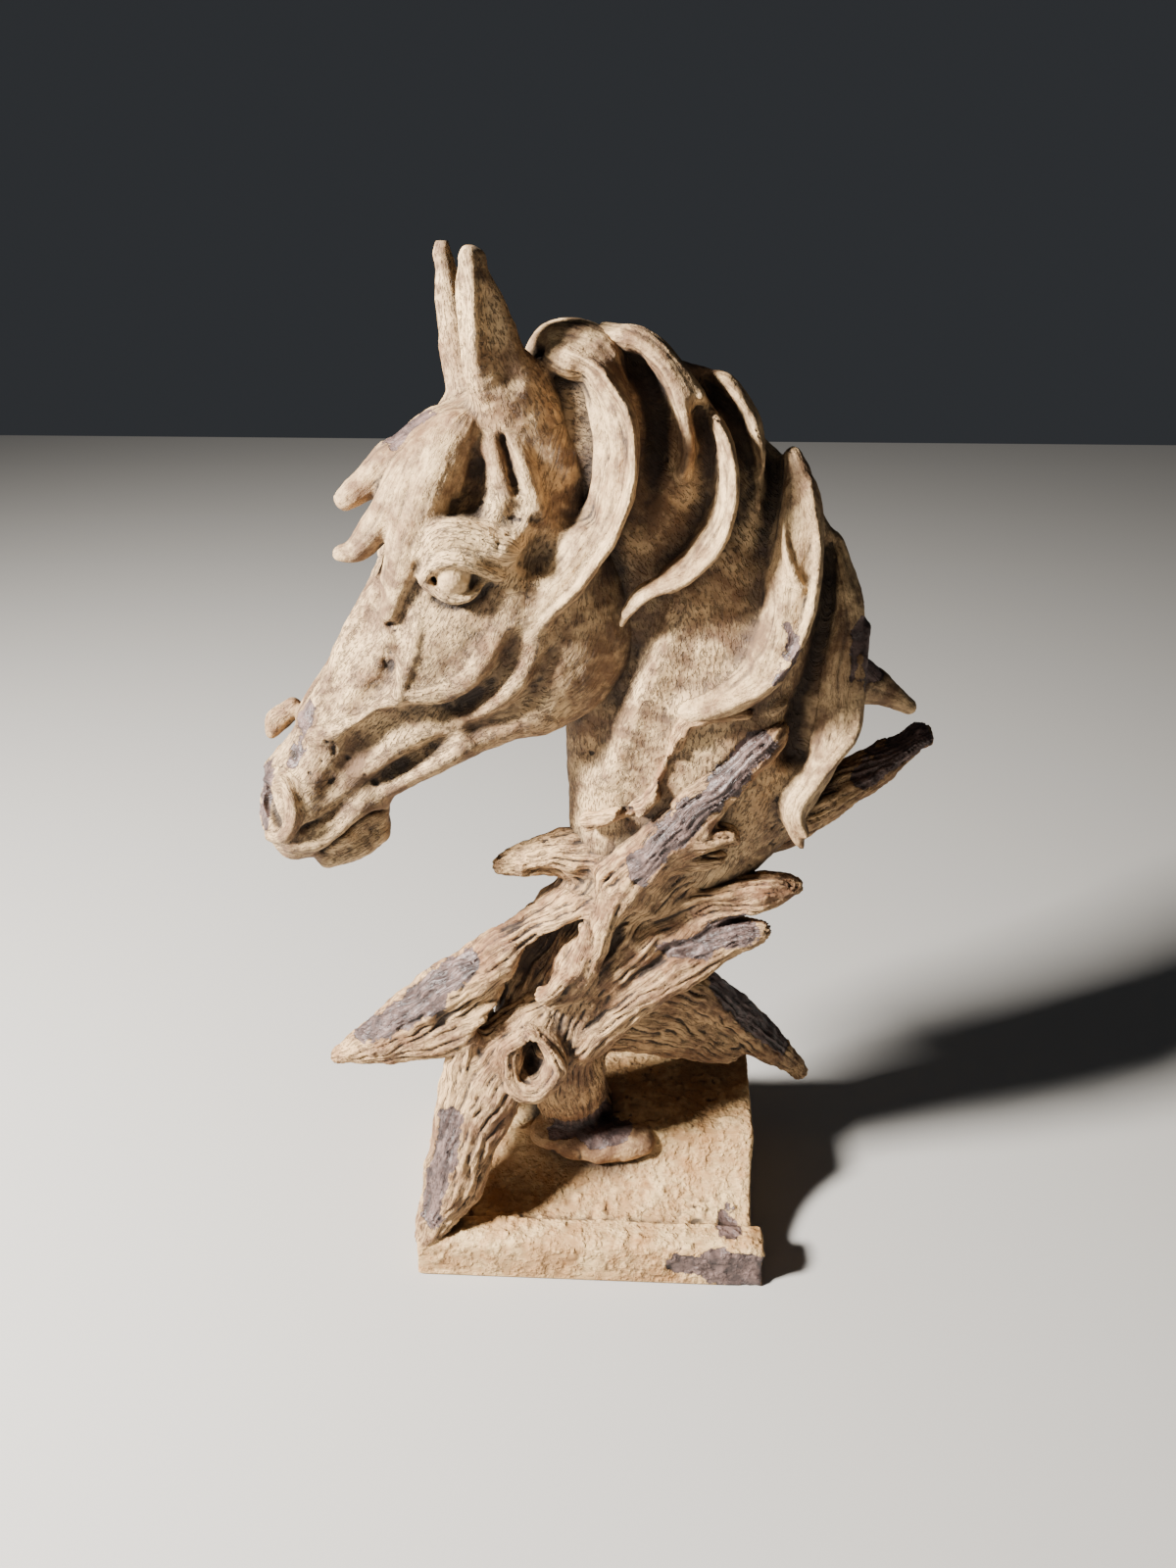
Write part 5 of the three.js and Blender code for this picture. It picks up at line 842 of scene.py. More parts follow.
            heights[near] += share * height
            grooves[near] += share * groove
        skin.marks.update(grain=grain, dash=dash, groove=grooves / weight)
        skin.points += skin.normals() * (heights / weight)[:, None]
        drift = np.stack([fractal(skin.points, 12, 90 + 7 * n) for n in range(3)], axis=1)
        skin.points += drift * skin.spread(sway, skin.edges(), 6)[:, None]


class Room:
    """Coarse block that knows where the whole statue is solid."""

    def __init__(self, low: np.ndarray, high: np.ndarray, cell: float):
        """Start with nothing solid in it."""
        self.low, self.cell = np.asarray(low, float), cell
        self.solid = np.zeros(np.ceil((np.asarray(high) - low) / cell).astype(int) + 1, bool)

    def add(self, clay: Clay) -> None:
        """Take in what a block of clay holds."""
        lines = [self.low[n] + np.arange(size) * self.cell for n, size in enumerate(self.solid.shape)]
        spots = [np.round((line - clay.low[n]) / clay.cell).astype(int) for n, line in enumerate(lines)]
        held = [(spot >= 0) & (spot < clay.count[n]) for n, spot in enumerate(spots)]
        block = clay.values[np.ix_(*(spot[keep] for spot, keep in zip(spots, held)))] < 0
        self.solid[np.ix_(*held)] |= block

    def crowding(self, points: np.ndarray, radius: float) -> np.ndarray:
        """Return how full the space round each point is.

        Args:
            points: One row a point, in millimetres.
            radius: Half the width of the space that is looked at.

        Returns:
            Shares from 0 to 1.
        """
        value = self.solid.astype(np.float32)
        steps = max(1, round(radius / self.cell))
        for axis in range(3):
            pads = [(steps + 1, steps) if n == axis else (0, 0) for n in range(3)]
            total = np.cumsum(np.pad(value, pads), axis=axis, dtype=np.float32)
            high = np.take(total, np.arange(2 * steps + 1, total.shape[axis]), axis=axis)
            low = np.take(total, np.arange(0, total.shape[axis] - 2 * steps - 1), axis=axis)
            value = (high - low) / (2 * steps + 1)
        spot = np.clip((points - self.low) / self.cell, 0, np.array(value.shape) - 1.001)
        cell = spot.astype(int)
        part = spot - cell
        share = np.zeros(len(points))
        for c in range(8):
            corner = np.array([c & 1, c >> 1 & 1, c >> 2])
            share += value[tuple((cell + corner).T)] * np.where(corner, part, 1 - part).prod(axis=1)
        return share


Socket = bpy.types.NodeSocket
Colour = tuple[float, float, float]


def linear(colour: str) -> tuple[float, float, float, float]:
    """Return a colour written as #rrggbb in Blender's linear values."""
    parts = [int(colour[n:n + 2], 16) / 255 for n in (1, 3, 5)]
    return (*(((p + 0.055) / 1.055)**2.4 if p > 0.04045 else p / 12.92 for p in parts), 1.0)


class Tree:
    """Lays shader nodes in one tree and joins them."""

    def __init__(self, tree: bpy.types.NodeTree):
        """Take the tree that the nodes go into."""
        self.tree = tree

    def node(self, kind: str, settings: dict | None = None, **inputs) -> bpy.types.Node:
        """Lay one node.

        Args:
            kind: Blender's name of the node, without ShaderNode.
            settings: Values of the node's own properties.
            inputs: Values or sockets by input name, with _ for a space.

        Returns:
            The node.
        """
        made = self.tree.nodes.new("ShaderNode" + kind)
        for name, value in (settings or {}).items():
            setattr(made, name, value)
        for name, value in inputs.items():
            self.feed(made.inputs[name.replace("_", " ")], value)
        return made

    def feed(self, socket: Socket, value: object) -> None:
        """Join a socket to another one, or set it to a value."""
        if isinstance(value, bpy.types.NodeSocket):
            self.tree.links.new(value, socket)
        else:
            socket.default_value = value

    def math(self, operation: str, *values: object, clamp: bool = False) -> Socket:
        """Return the result of a sum on one to three values."""
        made = self.node("Math", {"operation": operation, "use_clamp": clamp})
        for socket, value in zip(made.inputs, values):
            self.feed(socket, value)
        return made.outputs[0]

    def mix(self, share: object, first: object, second: object, blend: str = "MIX") -> Socket:
        """Return a blend of two colours."""
        made = self.node("Mix", {"data_type": "RGBA", "blend_type": blend})
        for number, value in ((0, share), (6, first), (7, second)):
            self.feed(made.inputs[number], value)
        return made.outputs[2]

    def step(self, value: object, low: float, high: float) -> Socket:
        """Return 0 below low, 1 above high, and a smooth step between."""
        made = self.node("MapRange", {"interpolation_type": "SMOOTHSTEP"},
                         Value=value, From_Min=low, From_Max=high)
        return made.outputs[0]

    def noise(self, vector: object, size: float, detail: float = 4.0, roughness: float = 0.55) -> Socket:
        """Return noise whose marks are about size wide, in the units of the vector."""
        made = self.node("TexNoise", Vector=vector, Scale=1 / size, Detail=detail, Roughness=roughness)
        return made.outputs["Fac"]

    def mark(self, name: str, vector: bool = False) -> Socket:
        """Return a value that the mesh carries."""
        made = self.node("Attribute", {"attribute_name": name})
        return made.outputs["Vector" if vector else "Fac"]


class Effect:
    """A shader node group with named inputs and outputs."""

    def __init__(self, name: str, inputs: dict[str, tuple[str, float]], outputs: tuple[str, ...]):
        """Make the empty group.

        Args:
            name: The group's name.
            inputs: Kind of socket and value for each input.
            outputs: Names of the values that it puts out.
        """
        self.group = bpy.data.node_groups.new(name, "ShaderNodeTree")
        for label, (kind, value) in inputs.items():
            made = self.group.interface.new_socket(label, in_out="INPUT", socket_type="NodeSocket" + kind)
            if kind == "Float":
                made.default_value = value
        for label in outputs:
            self.group.interface.new_socket(label, in_out="OUTPUT", socket_type="NodeSocketFloat")
        self.tree = Tree(self.group)
        self.given = self.tree.tree.nodes.new("NodeGroupInput").outputs
        self.result = self.tree.tree.nodes.new("NodeGroupOutput").inputs

    def lay(self, tree: Tree, **inputs) -> bpy.types.Node:
        """Place the group in a material with its own values."""
        made = tree.tree.nodes.new("ShaderNodeGroup")
        made.node_tree = self.group
        for name, value in inputs.items():
            tree.feed(made.inputs[name.replace("_", " ")], value)
        return made


class Effects:
    """The effects that more than one finish uses, each built once."""

    def __init__(self) -> None:
        """Build every effect."""
        self.wash_and_shade = self.recess_wash_and_shade()
        self.flakes = self.flaked_paint()
        self.streaks = self.long_grain()
        self.grit = self.sandy_grit()

    @staticmethod
    def recess_wash_and_shade() -> Effect:
        """Return dark wash that has settled in grooves and hollows, and painted shade where the statue's
        parts crowd together.
        """
        made = Effect("Recess wash", {
            "Place": ("Vector", 0), "Groove": ("Float", 0), "Hollow": ("Float", 0), "PaintedShade": ("Float", 0),
            "Groove share": ("Float", 0.6),
        }, ("Mask", "Ridge"))
        tree, given = made.tree, made.given
        smear = tree.noise(given["Place"], 0.011, 5)
        close = tree.math("MULTIPLY", tree.step(given["Hollow"], 0.05, 1.0), 0.85)
        # Painted shade: darker where the statue's parts crowd round the point
        wide = tree.step(given["PaintedShade"], 0.46, 0.85)
        line = tree.math("MULTIPLY", tree.step(given["Groove"], 0.35, 0.95), given["Groove share"])
        total = tree.math("ADD", tree.math("ADD", close, wide), line)
        broken = tree.math("MULTIPLY", total, tree.math("MULTIPLY_ADD", smear, 1.3, 0.35))
        tree.feed(made.result["Mask"], tree.math("MINIMUM", broken, 0.92))
        ridge = tree.step(tree.math("MULTIPLY", given["Hollow"], -1.0), 0.2, 1.0)
        tree.feed(made.result["Ridge"], tree.math("MULTIPLY", ridge, tree.step(smear, 0.35, 0.6)))
        return made

    @staticmethod
    def flaked_paint() -> Effect:
        """Return where the paint has come off, with a ragged edge."""
        made = Effect("Flaked paint", {
            "Place": ("Vector", 0), "Patch": ("Float", 0), "Ridge": ("Float", 0), "Wear": ("Float", 0.3),
        }, ("Bare", "Height"))
        tree, given = made.tree, made.given
        ragged = tree.noise(given["Place"], 0.0042, 6, 0.66)
        spots = tree.noise(given["Place"], 0.021, 6, 0.66)
        rubbed = tree.math("MULTIPLY", tree.math("MULTIPLY", given["Ridge"], given["Wear"]), spots)
        scuffs = tree.math("MULTIPLY", tree.step(spots, 0.62, 0.7), given["Wear"])
        total = tree.math("ADD", tree.math("ADD", given["Patch"], rubbed), scuffs)
        edge = tree.math("MULTIPLY_ADD", tree.math("SUBTRACT", ragged, 0.5), 1.7, total)
        bare = tree.step(edge, 0.46, 0.54)
        tree.feed(made.result["Bare"], bare)
        tree.feed(made.result["Height"], tree.math("SUBTRACT", 1.0, bare))
        return made

    @staticmethod
    def long_grain() -> Effect:
        """Return fine streaks that run along a lock, a limb or the hair of the coat."""
        made = Effect("Long grain", {
            "Grain": ("Vector", 0), "Width": ("Float", 1.0), "Stretch": ("Float", 8.0),
        }, ("Value",))
        tree, given = made.tree, made.given
        narrow = tree.math("DIVIDE", 1.0, given["Width"])
        short = tree.math("DIVIDE", narrow, given["Stretch"])
        scale = tree.node("CombineXYZ", X=narrow, Y=narrow, Z=short).outputs[0]
        moved = tree.node("VectorMath", {"operation": "MULTIPLY"})
        tree.feed(moved.inputs[0], given["Grain"])
        tree.feed(moved.inputs[1], scale)
        value = tree.noise(moved.outputs[0], 1.0, 2, 0.6)
        tree.feed(made.result["Value"], tree.step(value, 0.52, 0.62))
        return made

    @staticmethod
    def sandy_grit() -> Effect:
        """Return grains of sand caught in the paint."""
        made = Effect("Sandy grit", {"Place": ("Vector", 0), "Size": ("Float", 0.001)}, ("Value", "Height"))
        tree, given = made.tree, made.given
        scale = tree.math("DIVIDE", 1.0, given["Size"])
        cells = tree.node("TexVoronoi", {"feature": "SMOOTH_F1"}, Vector=given["Place"], Scale=scale)
        broad = tree.math("MULTIPLY", scale, 0.4)
        dust = tree.node("TexNoise", Vector=given["Place"], Scale=broad, Detail=6.0)
        lift = tree.step(dust.outputs["Fac"], 0.42, 0.62)
        height = tree.math("MULTIPLY", tree.math("SUBTRACT", 1.0, cells.outputs["Distance"]), lift)
        tree.feed(made.result["Height"], height)
        tree.feed(made.result["Value"], dust.outputs["Fac"])
        return made


@dataclass(frozen=True)
class PaintedFinish:
    """Cream and brown paint with dark wash in its recesses and painted shade where parts crowd together,
    flaking off a plum-grey undercoat.
    """

    name: str
    light: str = "#cfae80"
    middle: str = "#6c5138"
    warm: str = "#7f5935"
    # Colour of the dark wash, the hair dashes and the painted shade
    wash_and_shade: str = "#241913"
    bare: str = "#735c55"
    bare_dark: str = "#40322f"
    warm_share: float = 0.3
    groove_share: float = 0.6
    wear: float = 0.35
    grain_width: float = 0.75
    grain_stretch: float = 3.4
    grain_shade: float = 0.62
    grain_height: float = 0.6
    grit_size: float = 0.0011
    grit_height: float = 0.25

    def material(self, effects: Effects) -> bpy.types.Material:
        """Return the material, built from the marks that the mesh carries.

        Args:
            effects: The shared effects.

        Returns:
            A new material.
        """
        made = bpy.data.materials.new(self.name)
        made.use_nodes = True
        tree = Tree(made.node_tree)
        shader = made.node_tree.nodes["Principled BSDF"]
        place = tree.node("TexCoord").outputs["Object"]
        grain = tree.mark("grain", vector=True)
        # Wash mask: real wash in grooves and hollows, and painted shade where parts crowd together
        wash_and_shade = effects.wash_and_shade.lay(tree, Place=place, Groove=tree.mark("groove"), Hollow=tree.mark("hollow"),
                                PaintedShade=tree.mark("deep"), Groove_share=self.groove_share)
        flakes = effects.flakes.lay(tree, Place=place, Patch=tree.mark("bare"), Ridge=wash_and_shade.outputs["Ridge"],
                                    Wear=self.wear)
        streaks = effects.streaks.lay(tree, Grain=grain, Width=self.grain_width, Stretch=self.grain_stretch)
        grit = effects.grit.lay(tree, Place=place, Size=self.grit_size)
        cloud = tree.noise(place, 0.034, 5, 0.6)
        close = tree.noise(place, 0.006, 6, 0.65)
        mixed = tree.math("MULTIPLY_ADD", tree.math("SUBTRACT", close, 0.5), 0.8, cloud)
        paint = tree.mix(tree.step(mixed, 0.34, 0.68), linear(self.middle), linear(self.light))
        stained = tree.step(tree.noise(place, 0.027, 4, 0.7), 0.45, 0.62)
        warmth = tree.math("MULTIPLY", stained, self.warm_share)
        paint = tree.mix(warmth, paint, linear(self.warm))
        thin = tree.math("MULTIPLY", tree.mark("dash"), tree.step(cloud, 0.25, 0.6))
        dashes = tree.math("MULTIPLY", streaks.outputs["Value"], thin)
        paint = tree.mix(tree.math("MULTIPLY", dashes, self.grain_shade), paint, linear(self.wash_and_shade))
        # Dark wash and painted shade over the paint
        paint = tree.mix(wash_and_shade.outputs["Mask"], paint, linear(self.wash_and_shade))
        paint = tree.mix(tree.math("MULTIPLY", wash_and_shade.outputs["Ridge"], 0.6), paint, linear(self.light))
        under = tree.mix(tree.step(close, 0.35, 0.65), linear(self.bare_dark), linear(self.bare))
        # Dark wash and painted shade over the bare undercoat
        under = tree.mix(tree.math("MULTIPLY", wash_and_shade.outputs["Mask"], 0.7), under, linear(self.wash_and_shade))
        tree.feed(shader.inputs["Base Color"], tree.mix(flakes.outputs["Bare"], paint, under))
        chalky = tree.math("MULTIPLY_ADD", close, 0.15, 0.74)
        rough = tree.math("MULTIPLY_ADD", flakes.outputs["Bare"], -0.3, chalky)
        tree.feed(shader.inputs["Roughness"], rough)
        height = tree.math("MULTIPLY", dashes, -self.grain_height)
        height = tree.math("MULTIPLY_ADD", grit.outputs["Height"], self.grit_height, height)
        height = tree.math("MULTIPLY_ADD", flakes.outputs["Height"], 0.35, height)
        bump = tree.node("Bump", Height=height, Distance=MM, Strength=1.0)
        tree.feed(shader.inputs["Normal"], bump.outputs["Normal"])
        return made


@dataclass
class Shop:
    """What every piece is built with."""

    effects: Effects
    room: Room
    patches: list[Laid]
    carving: Carving = field(default_factory=Carving)
    triangles: int = MOST_TRIANGLES
    patch_depth: float = 0.6
    patch_rag: float = 5.0
    patch_fade: float = 3.0
    patch_edge: float = 0.5
    hollow_lift: float = 0.35
    # How the crowding that sets the painted shade is measured and scaled
    crowd_lift: float = 2.0
    crowd_reach: float = 8.0
    painted_shade_gain: float = 1.25

    def finish_skin(self, skin: Skin, low: np.ndarray, high: np.ndarray) -> None:
        """Take the paint off the bare patches, mark recesses for the wash and crowded places for painted
        shade, and keep the skin in a box.

        Args:
            skin: The carved skin, which is changed.
            low: Lowest corner of the box, in millimetres.
            high: Highest corner of the box.
        """
        points = skin.points
        gap = np.full(len(points), FAR_OUT)
        for patch in self.patches:
            for n in range(len(patch.length)):
                start, stop = patch.reach(n, 2 * self.patch_fade)
                near = np.flatnonzero(((points > start) & (points < stop)).all(axis=1))
                if len(near):
                    gap[near] = np.minimum(gap[near], patch.measure(n, *points[near].T)[0])
        gap += fractal(points, 9, 61, 4) * self.patch_rag
        skin.marks["bare"] = ease(-gap, -self.patch_fade, self.patch_fade)
        edges, normals = skin.edges(), skin.normals()
        skin.points -= normals * (self.patch_depth * ease(-gap, -self.patch_edge, self.patch_edge))[:, None]
        flat = skin.spread(skin.points, edges, 5)
        lift = ((flat - skin.points) * normals).sum(axis=1)
        skin.marks["hollow"] = skin.spread(np.clip(lift / self.hollow_lift, -1.5, 1.5), edges, 1)
        # How crowded the space round each point is, kept as the deep mark: painted shade where parts crowd
        # together
        crowd_shade = self.room.crowding(skin.points + normals * self.crowd_lift, self.crowd_reach)
        skin.marks["deep"] = crowd_shade * self.painted_shade_gain
        skin.points = np.clip(skin.points, low, high)

    def piece(self, skin: Skin, name: str, material: bpy.types.Material) -> bpy.types.Object:
        """Turn a skin into an object that rides on the statue's body.

        Args:
            skin: The finished skin, in millimetres.
            name: Name of the object.
            material: Its material.

        Returns:
            The object, in metres.
        """
        mesh = bpy.data.meshes.new(name)
        mesh.vertices.add(len(skin.points))
        mesh.vertices.foreach_set("co", (skin.points * MM).ravel())
        mesh.loops.add(skin.quads.size)
        mesh.loops.foreach_set("vertex_index", skin.quads.ravel())
        mesh.polygons.add(len(skin.quads))
        mesh.polygons.foreach_set("loop_start", np.arange(0, skin.quads.size, 4))
        mesh.update(calc_edges=True)
        for label, values in skin.marks.items():
            kind, key = ("FLOAT_VECTOR", "vector") if values.ndim > 1 else ("FLOAT", "value")
            layer = mesh.attributes.new(label, kind, "POINT")
            layer.data.foreach_set(key, values.ravel().astype(np.float32))
        made = bpy.data.objects.new(name, mesh)
        bpy.context.scene.collection.objects.link(made)
        if 2 * len(skin.quads) > self.triangles:
            thin = made.modifiers.new("Fewer faces", "DECIMATE")
            thin.ratio = self.triangles / (2 * len(skin.quads))
            thin.use_collapse_triangulate = True
            graph = bpy.context.evaluated_depsgraph_get()
            made.data = bpy.data.meshes.new_from_object(made.evaluated_get(graph))
            made.modifiers.clear()
            bpy.data.meshes.remove(mesh)
            made.data.name = name
        made.data.polygons.foreach_set("use_smooth", np.ones(len(made.data.polygons), bool))
        made.data.materials.append(material)
        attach(made, "root")
        LOG.info("%s: %d faces, %d points", name, len(made.data.polygons), len(made.data.vertices))
        return made


def laid_from(table: tuple, turn: Turn, grain: Grain, first: int) -> list[Laid]:
    """Return a table's strokes placed, each pair as two.

    Args:
        table: The strokes.
        turn: The frame of their stations.
        grain: What they are carved as.
        first: Number of the first of them.

    Returns:
        The placed strokes, in order.
    """
    made = []
    for n, stroke in enumerate(table):
        made.append(Laid(stroke, turn, grain, first + n))
        if stroke.paired:
            made.append(Laid(stroke, turn, grain, first + n, flip=-1))
    return made


@dataclass
class Sculpture:
    """A piece of the casting that is sculpted from strokes."""

    name: str
    strokes: list[Laid]
    finish: PaintedFinish
    slot: str
    cell: float
    margin: float = 4.0
    smoothing: int = 2
    clay: Clay | None = None

    def model(self) -> None:
        """Lay and cut every stroke in turn."""
        lows, highs = zip(*(laid.reach(n, self.margin) for laid in self.strokes if not laid.cut
                            for n in range(len(laid.length))))
        self.clay = Clay(np.min(lows, axis=0), np.max(highs, axis=0), self.cell)
        for laid in self.strokes:
            self.clay.lay(laid)

    def build(self, shop: Shop) -> bpy.types.Object:
        """Carve the piece and make its object.

        Args:
            shop: What every piece is built with.

        Returns:
            The dressed object.
        """
        skin = self.clay.skin()
        skin.points = skin.spread(skin.points, skin.edges(), self.smoothing)
        shop.carving.carve(skin, [laid for laid in self.strokes if not laid.cut])
        low, high = (np.array(corner) / MM for corner in CAD_BOX)
        shop.finish_skin(skin, low + BOX_MARGIN, high - BOX_MARGIN)
        made = shop.piece(skin, self.name, self.finish.material(shop.effects))
        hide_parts("horse_head")
        return made


@dataclass
class Plinth:
    """The block that the statue stands on: a hollowed front slope and a moulded lip at its foot."""

    finish: PaintedFinish
    cell: float
    name: str = "plinth_cast"
    slot: str = "painted_plinth"
    width: float = 150.0
    foot_width: float = 143.0
    depth: float = 114.0
    height: float = PLINTH_HEIGHT
    back_round: float = 9.0
    top_fall: float = 5.0
    slope_run: float = 30.0
    slope_hollow: float = 5.0
    lip_height: float = 22.0
    lip_depth: float = 15.0
    lip_round: float = 6.0
    lip_overhang: float = 2.0
    groove_depth: float = 2.5
    edge_round: float = 3.0
    clay: Clay | None = None

    def outlines(self) -> tuple[np.ndarray, np.ndarray]:
        """Return the outline of the block and of the lip, as rows of (y, z)."""
        front, back = -self.depth / 2, self.depth / 2
        groove = self.lip_height - self.groove_depth
        lip_back = front + self.lip_depth
        slope_foot = lip_back + self.groove_depth
        slope_head = slope_foot + self.slope_run
        crest = self.height - self.top_fall
        arc = np.linspace(0, math.pi / 2, 8)
        rounded = np.stack([back - self.back_round + np.cos(arc) * self.back_round,
                            self.height - self.back_round + np.sin(arc) * self.back_round], axis=1)
        t = np.linspace(0, 1, 12)[:, None]
        middle = np.array([(slope_head + slope_foot) / 2 + self.slope_hollow,
                           (crest + groove) / 2 - 2 * self.slope_hollow])
        slope = ((1 - t)**2 * np.array([slope_head, crest]) + 2 * t * (1 - t) * middle
                 + t**2 * np.array([slope_foot, groove]))
        block = np.vstack([[(back, 0)], rounded, slope, [(lip_back, groove), (lip_back, 0)]])
        turn = np.linspace(math.pi / 2, math.pi, 8)
        nose = np.stack([front + self.lip_round + np.cos(turn) * self.lip_round,
                         self.lip_height - self.lip_round + np.sin(turn) * self.lip_round], axis=1)
        rear = [(slope_foot, 0), (slope_foot, groove), (lip_back, self.lip_height)]
        lip = np.vstack([rear, nose, [(front, 0)]])
        return block, lip

    @staticmethod
    def outline_distance(outline: np.ndarray, y: np.ndarray, z: np.ndarray) -> np.ndarray:
        """Return the signed distance of points in a plane to a closed outline."""
        gap, inside = np.full(np.broadcast(y, z).shape, FAR_OUT), np.zeros(np.broadcast(y, z).shape, bool)
        for (y0, z0), (y1, z1) in zip(outline, np.roll(outline, -1, axis=0)):
            dy, dz = y1 - y0, z1 - z0
            t = np.clip(((y - y0) * dy + (z - z0) * dz) / max(dy * dy + dz * dz, 1e-9), 0, 1)
            gap = np.minimum(gap, np.hypot(y - y0 - t * dy, z - z0 - t * dz))
            if dz:
                inside ^= ((z0 > z) != (z1 > z)) & (y < y0 + (z - z0) * dy / dz)
        return np.where(inside, -gap, gap)

    def model(self) -> None:
        """Fill the block of clay with the two bars."""
        half = np.array([self.width / 2 + self.lip_overhang, self.depth / 2])
        low = np.array([-half[0], -half[1], 0]) - 2 * self.cell
        high = np.array([half[0], half[1], self.height]) + 2 * self.cell
        self.clay = Clay(low, high, self.cell)
        x, y, z = self.clay.axes(tuple(slice(0, n) for n in self.clay.count))
        reach = self.foot_width / 2 + (self.width - self.foot_width) / 2 * np.clip(z / self.height, 0, 1)
        parts = []
        for outline, side in zip(self.outlines(), (np.abs(x) - reach,
                                                   np.abs(x) - self.width / 2 - self.lip_overhang)):
            flat = self.outline_distance(outline, y, z)
            overlap = np.maximum(self.edge_round - np.abs(flat - side), 0)
            parts.append(np.maximum(flat, side) + overlap**2 / (4 * self.edge_round))
        self.clay.values = np.minimum(*parts).astype(np.float32)

    def weather(self, skin: Skin) -> None:
        """Roughen the top and the lip with sand, and leave the slope and the sides smoother."""
        points, normals = skin.points, skin.normals()
        up = ease(normals[:, 2], 0.75, 0.95)
        lip = ease(-points[:, 1], self.depth / 2 - self.lip_depth, self.depth / 2 - self.lip_depth + 2)
        sand = np.clip(0.25 + 0.75 * np.maximum(up, lip * 0.8), 0, 1)
        grains = fractal(points, 2.6, 71, 2)
        crumbs = ease(fractal(points, 5.5, 75), 0.08, 0.3)
        height = sand * (grains * 0.35 + crumbs * 0.9) + fractal(points, 16, 79) * 0.6 - 0.6
        rests = ease(points[:, 2], 0.5, 3.0)
        skin.marks.update(grain=np.stack([points[:, 1], points[:, 2], points[:, 0]], axis=1),
                          dash=np.ones(len(points)), groove=ease(-grains, 0.0, 0.8) * 0.5 * sand)
        skin.points = points + normals * (height * rests)[:, None]

    def build(self, shop: Shop) -> bpy.types.Object:
        """Weather the plinth and make its object.

        Args:
            shop: What every piece is built with.

        Returns:
            The dressed object.
        """
        skin = self.clay.skin()
        self.weather(skin)
        low, high = (np.array(corner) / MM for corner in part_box("plinth"))
        shop.finish_skin(skin, low, high)
        made = shop.piece(skin, self.name, self.finish.material(shop.effects))
        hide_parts("plinth")
        return made


@dataclass
class Studio:
    """Pale floor, soft light from the upper left, and the camera of the photograph."""

    camera_at: tuple = (0.0173, -0.4307, 0.430)
    camera_turn: tuple = (math.radians(63.8), 0.0, math.radians(2.7))
    lens: float = 36.27
    floor_size: float = 4.0

    def floor(self) -> None:
        """Lay a wide pale floor."""
        mesh = bpy.data.meshes.new("floor")
        half = self.floor_size / 2
        corners = [(-half, -half, 0), (half, -half, 0), (half, half, 0), (-half, half, 0)]
        mesh.from_pydata(corners, [], [(0, 1, 2, 3)])
        made = bpy.data.objects.new("floor", mesh)
        paper = bpy.data.materials.new("Pale floor")
        paper.use_nodes = True
        shader = paper.node_tree.nodes["Principled BSDF"]
        shader.inputs["Base Color"].default_value = linear("#b0ada8")
        shader.inputs["Roughness"].default_value = 0.9
        mesh.materials.append(paper)
        bpy.context.scene.collection.objects.link(made)

    def lamp(self, name: str, at: tuple, size: float, power: float, tint: Colour) -> None:
        """Hang a square area light that faces the statue's middle."""
        light = bpy.data.lights.new(name, "AREA")
        light.size, light.energy, light.color = size, power, tint
        made = bpy.data.objects.new(name, light)
        made.location = at
        aim = np.array([0, 0, 0.22]) - np.array(at)
        made.rotation_mode = "QUATERNION"
        made.rotation_quaternion = Vector(aim).to_track_quat("-Z", "Y")
        bpy.context.scene.collection.objects.link(made)

    def build(self) -> None:
        """Set up the floor, the lights and the camera."""
        self.floor()
        self.lamp("key", (-0.92, -0.48, 0.86), 0.2, 100.0, (1.0, 0.97, 0.93))
        self.lamp("fill", (-0.2, -1.4, 0.5), 1.2, 0.8, (0.93, 0.96, 1.0))
        world = bpy.data.worlds.new("Soft studio")
        world.use_nodes = True
        world.node_tree.nodes["Background"].inputs["Color"].default_value = (0.80, 0.86, 0.95, 1)
        world.node_tree.nodes["Background"].inputs["Strength"].default_value = 0.04
        bpy.context.scene.world = world
        camera = bpy.data.cameras.new("camera")
        camera.sensor_fit = "HORIZONTAL"
        camera.sensor_width, camera.lens = 36.0, self.lens
        camera.clip_start, camera.clip_end = 0.01, 20.0
        made = bpy.data.objects.new("camera", camera)
        made.location, made.rotation_euler = self.camera_at, self.camera_turn
        bpy.context.scene.collection.objects.link(made)
        bpy.context.scene.camera = made


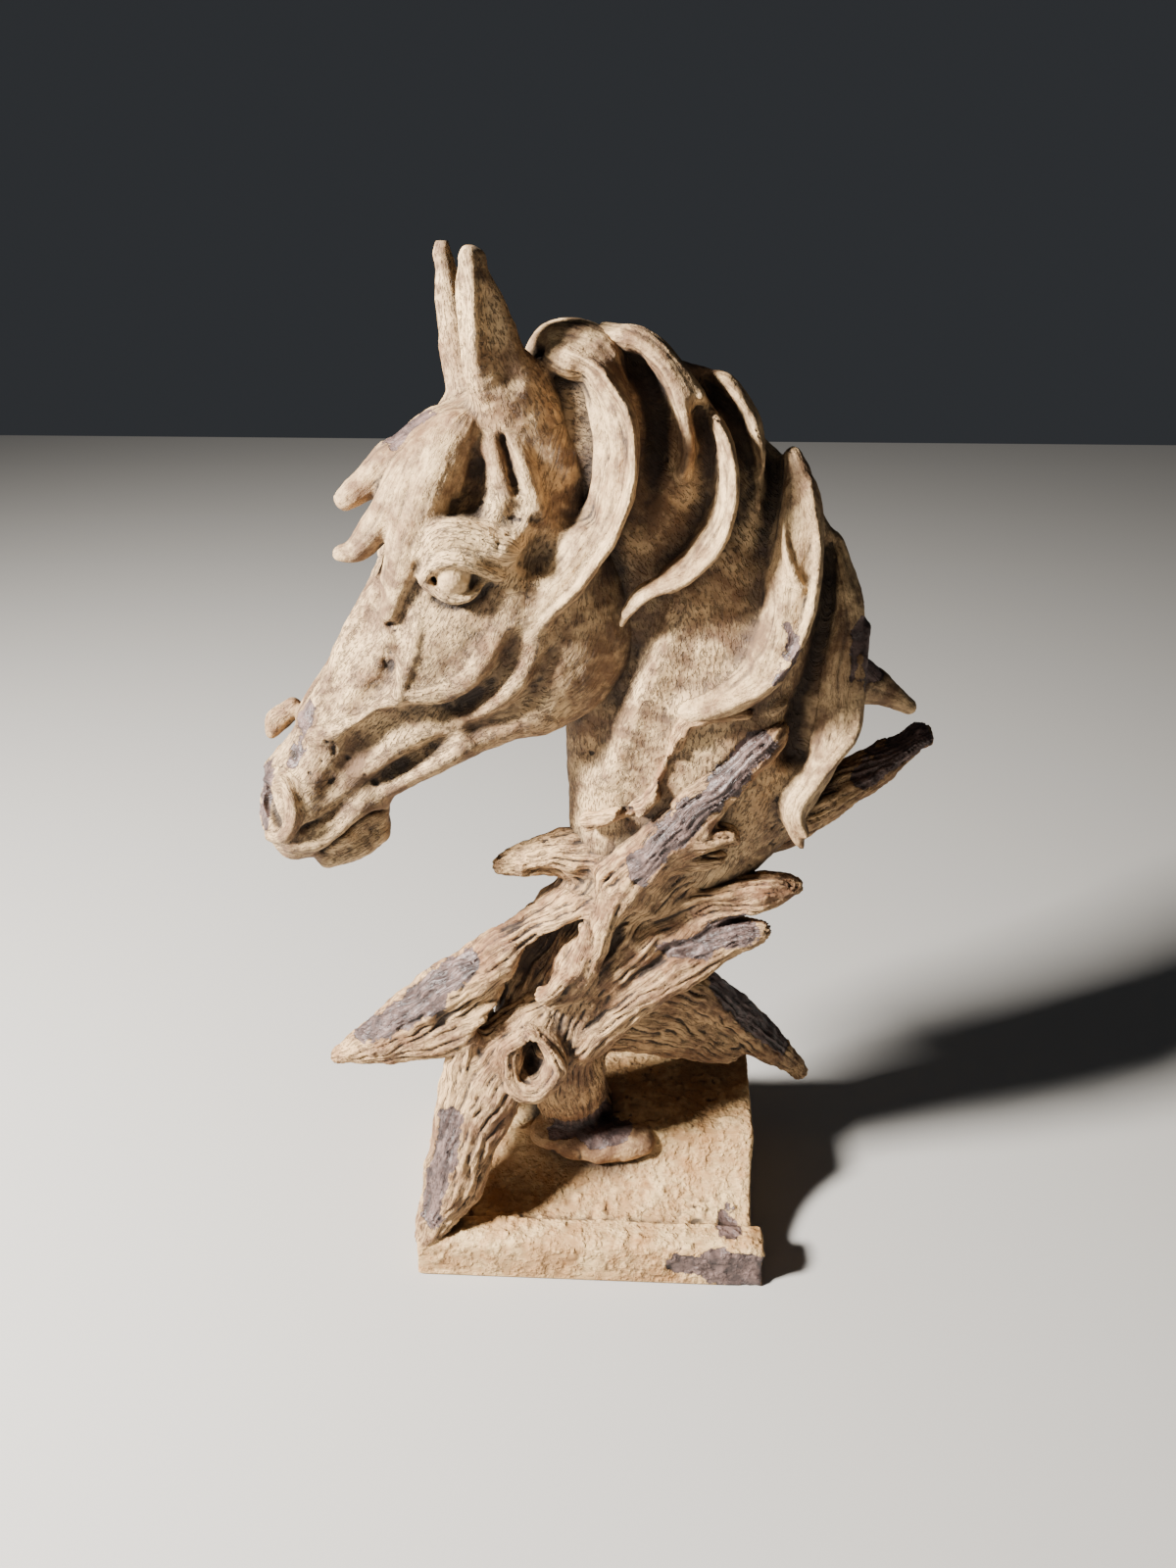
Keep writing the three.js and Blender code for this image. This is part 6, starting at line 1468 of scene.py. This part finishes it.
def main() -> None:
    """Build the statue's pieces in order and log each."""
    logging.basicConfig(level=logging.INFO, format="%(message)s")
    coarse = 1.0
    low, high = (np.array(corner) / MM for corner in CAD_BOX)
    neck = laid_from(NECK, Turn.BODY, Grain.SKIN, 10)
    far = [Laid(stroke, Turn.BODY, Grain.HAIR, 20 + n, flip=-1, drop=FAR_LOCK_DROP)
           for n, stroke in enumerate((FIRST_LOCK[1], *LOCKS))]
    first = laid_from(FIRST_LOCK, Turn.BODY, Grain.HAIR, 100)
    head = laid_from(FACE, Turn.HEAD, Grain.SKIN, 30) + laid_from(FORELOCK, Turn.HEAD, Grain.HAIR, 80)
    mane = laid_from(LOCKS, Turn.BODY, Grain.HAIR, 110) + laid_from(LOCK_DETAILS, Turn.BODY, Grain.HAIR, 120)
    wood = laid_from(ROOT, Turn.BODY, Grain.WOOD, 150) + laid_from(COMPOUND, Turn.BODY, Grain.LUMP, 190)
    gaps = [laid for laid in mane if laid.cut]
    hide = PaintedFinish("Flaking cream paint on the horse")
    bark = PaintedFinish("Flaking brown paint on the root", light="#c9a475", middle="#74543a", warm="#754a29",
                         warm_share=0.5, groove_share=1.1, grain_width=0.7, grain_height=0.6, grain_shade=0.5,
                         grain_stretch=11.0)
    sand = PaintedFinish("Sandy paint on the plinth", light="#d9b682", middle="#a77f52", warm="#a06c38",
                         warm_share=0.5, groove_share=0.5, grit_height=1.0, grit_size=0.0018,
                         grain_height=0.1, grain_shade=0.2, wear=0.2)
    cell = FIGURE_CELL * coarse
    figure = [
        Sculpture("head_and_forelock", head + far[:1] + first + gaps[:1], hide, "painted_casting", cell),
        Sculpture("neck_and_mane", neck + far[1:] + mane, hide, "painted_casting", cell),
        Sculpture("driftwood_root", wood, bark, "painted_casting", cell),
    ]
    plinth = Plinth(sand, PLINTH_CELL * coarse)
    room = Room(low - ROOM_MARGIN, high + ROOM_MARGIN, ROOM_CELL * coarse)
    for part in (*figure, plinth):
        part.model()
        room.add(part.clay)
        LOG.info("%s modelled", part.name)
    patches = laid_from(BARE_HEAD, Turn.HEAD, Grain.LUMP, 0) + laid_from(BARE_BODY, Turn.BODY, Grain.LUMP, 0)
    shop = Shop(Effects(), room, patches, triangles=int(MOST_TRIANGLES / coarse**2))
    for part in (*figure, plinth):
        part.build(shop)
    Studio().build()


if __name__ == "__main__":
    main()
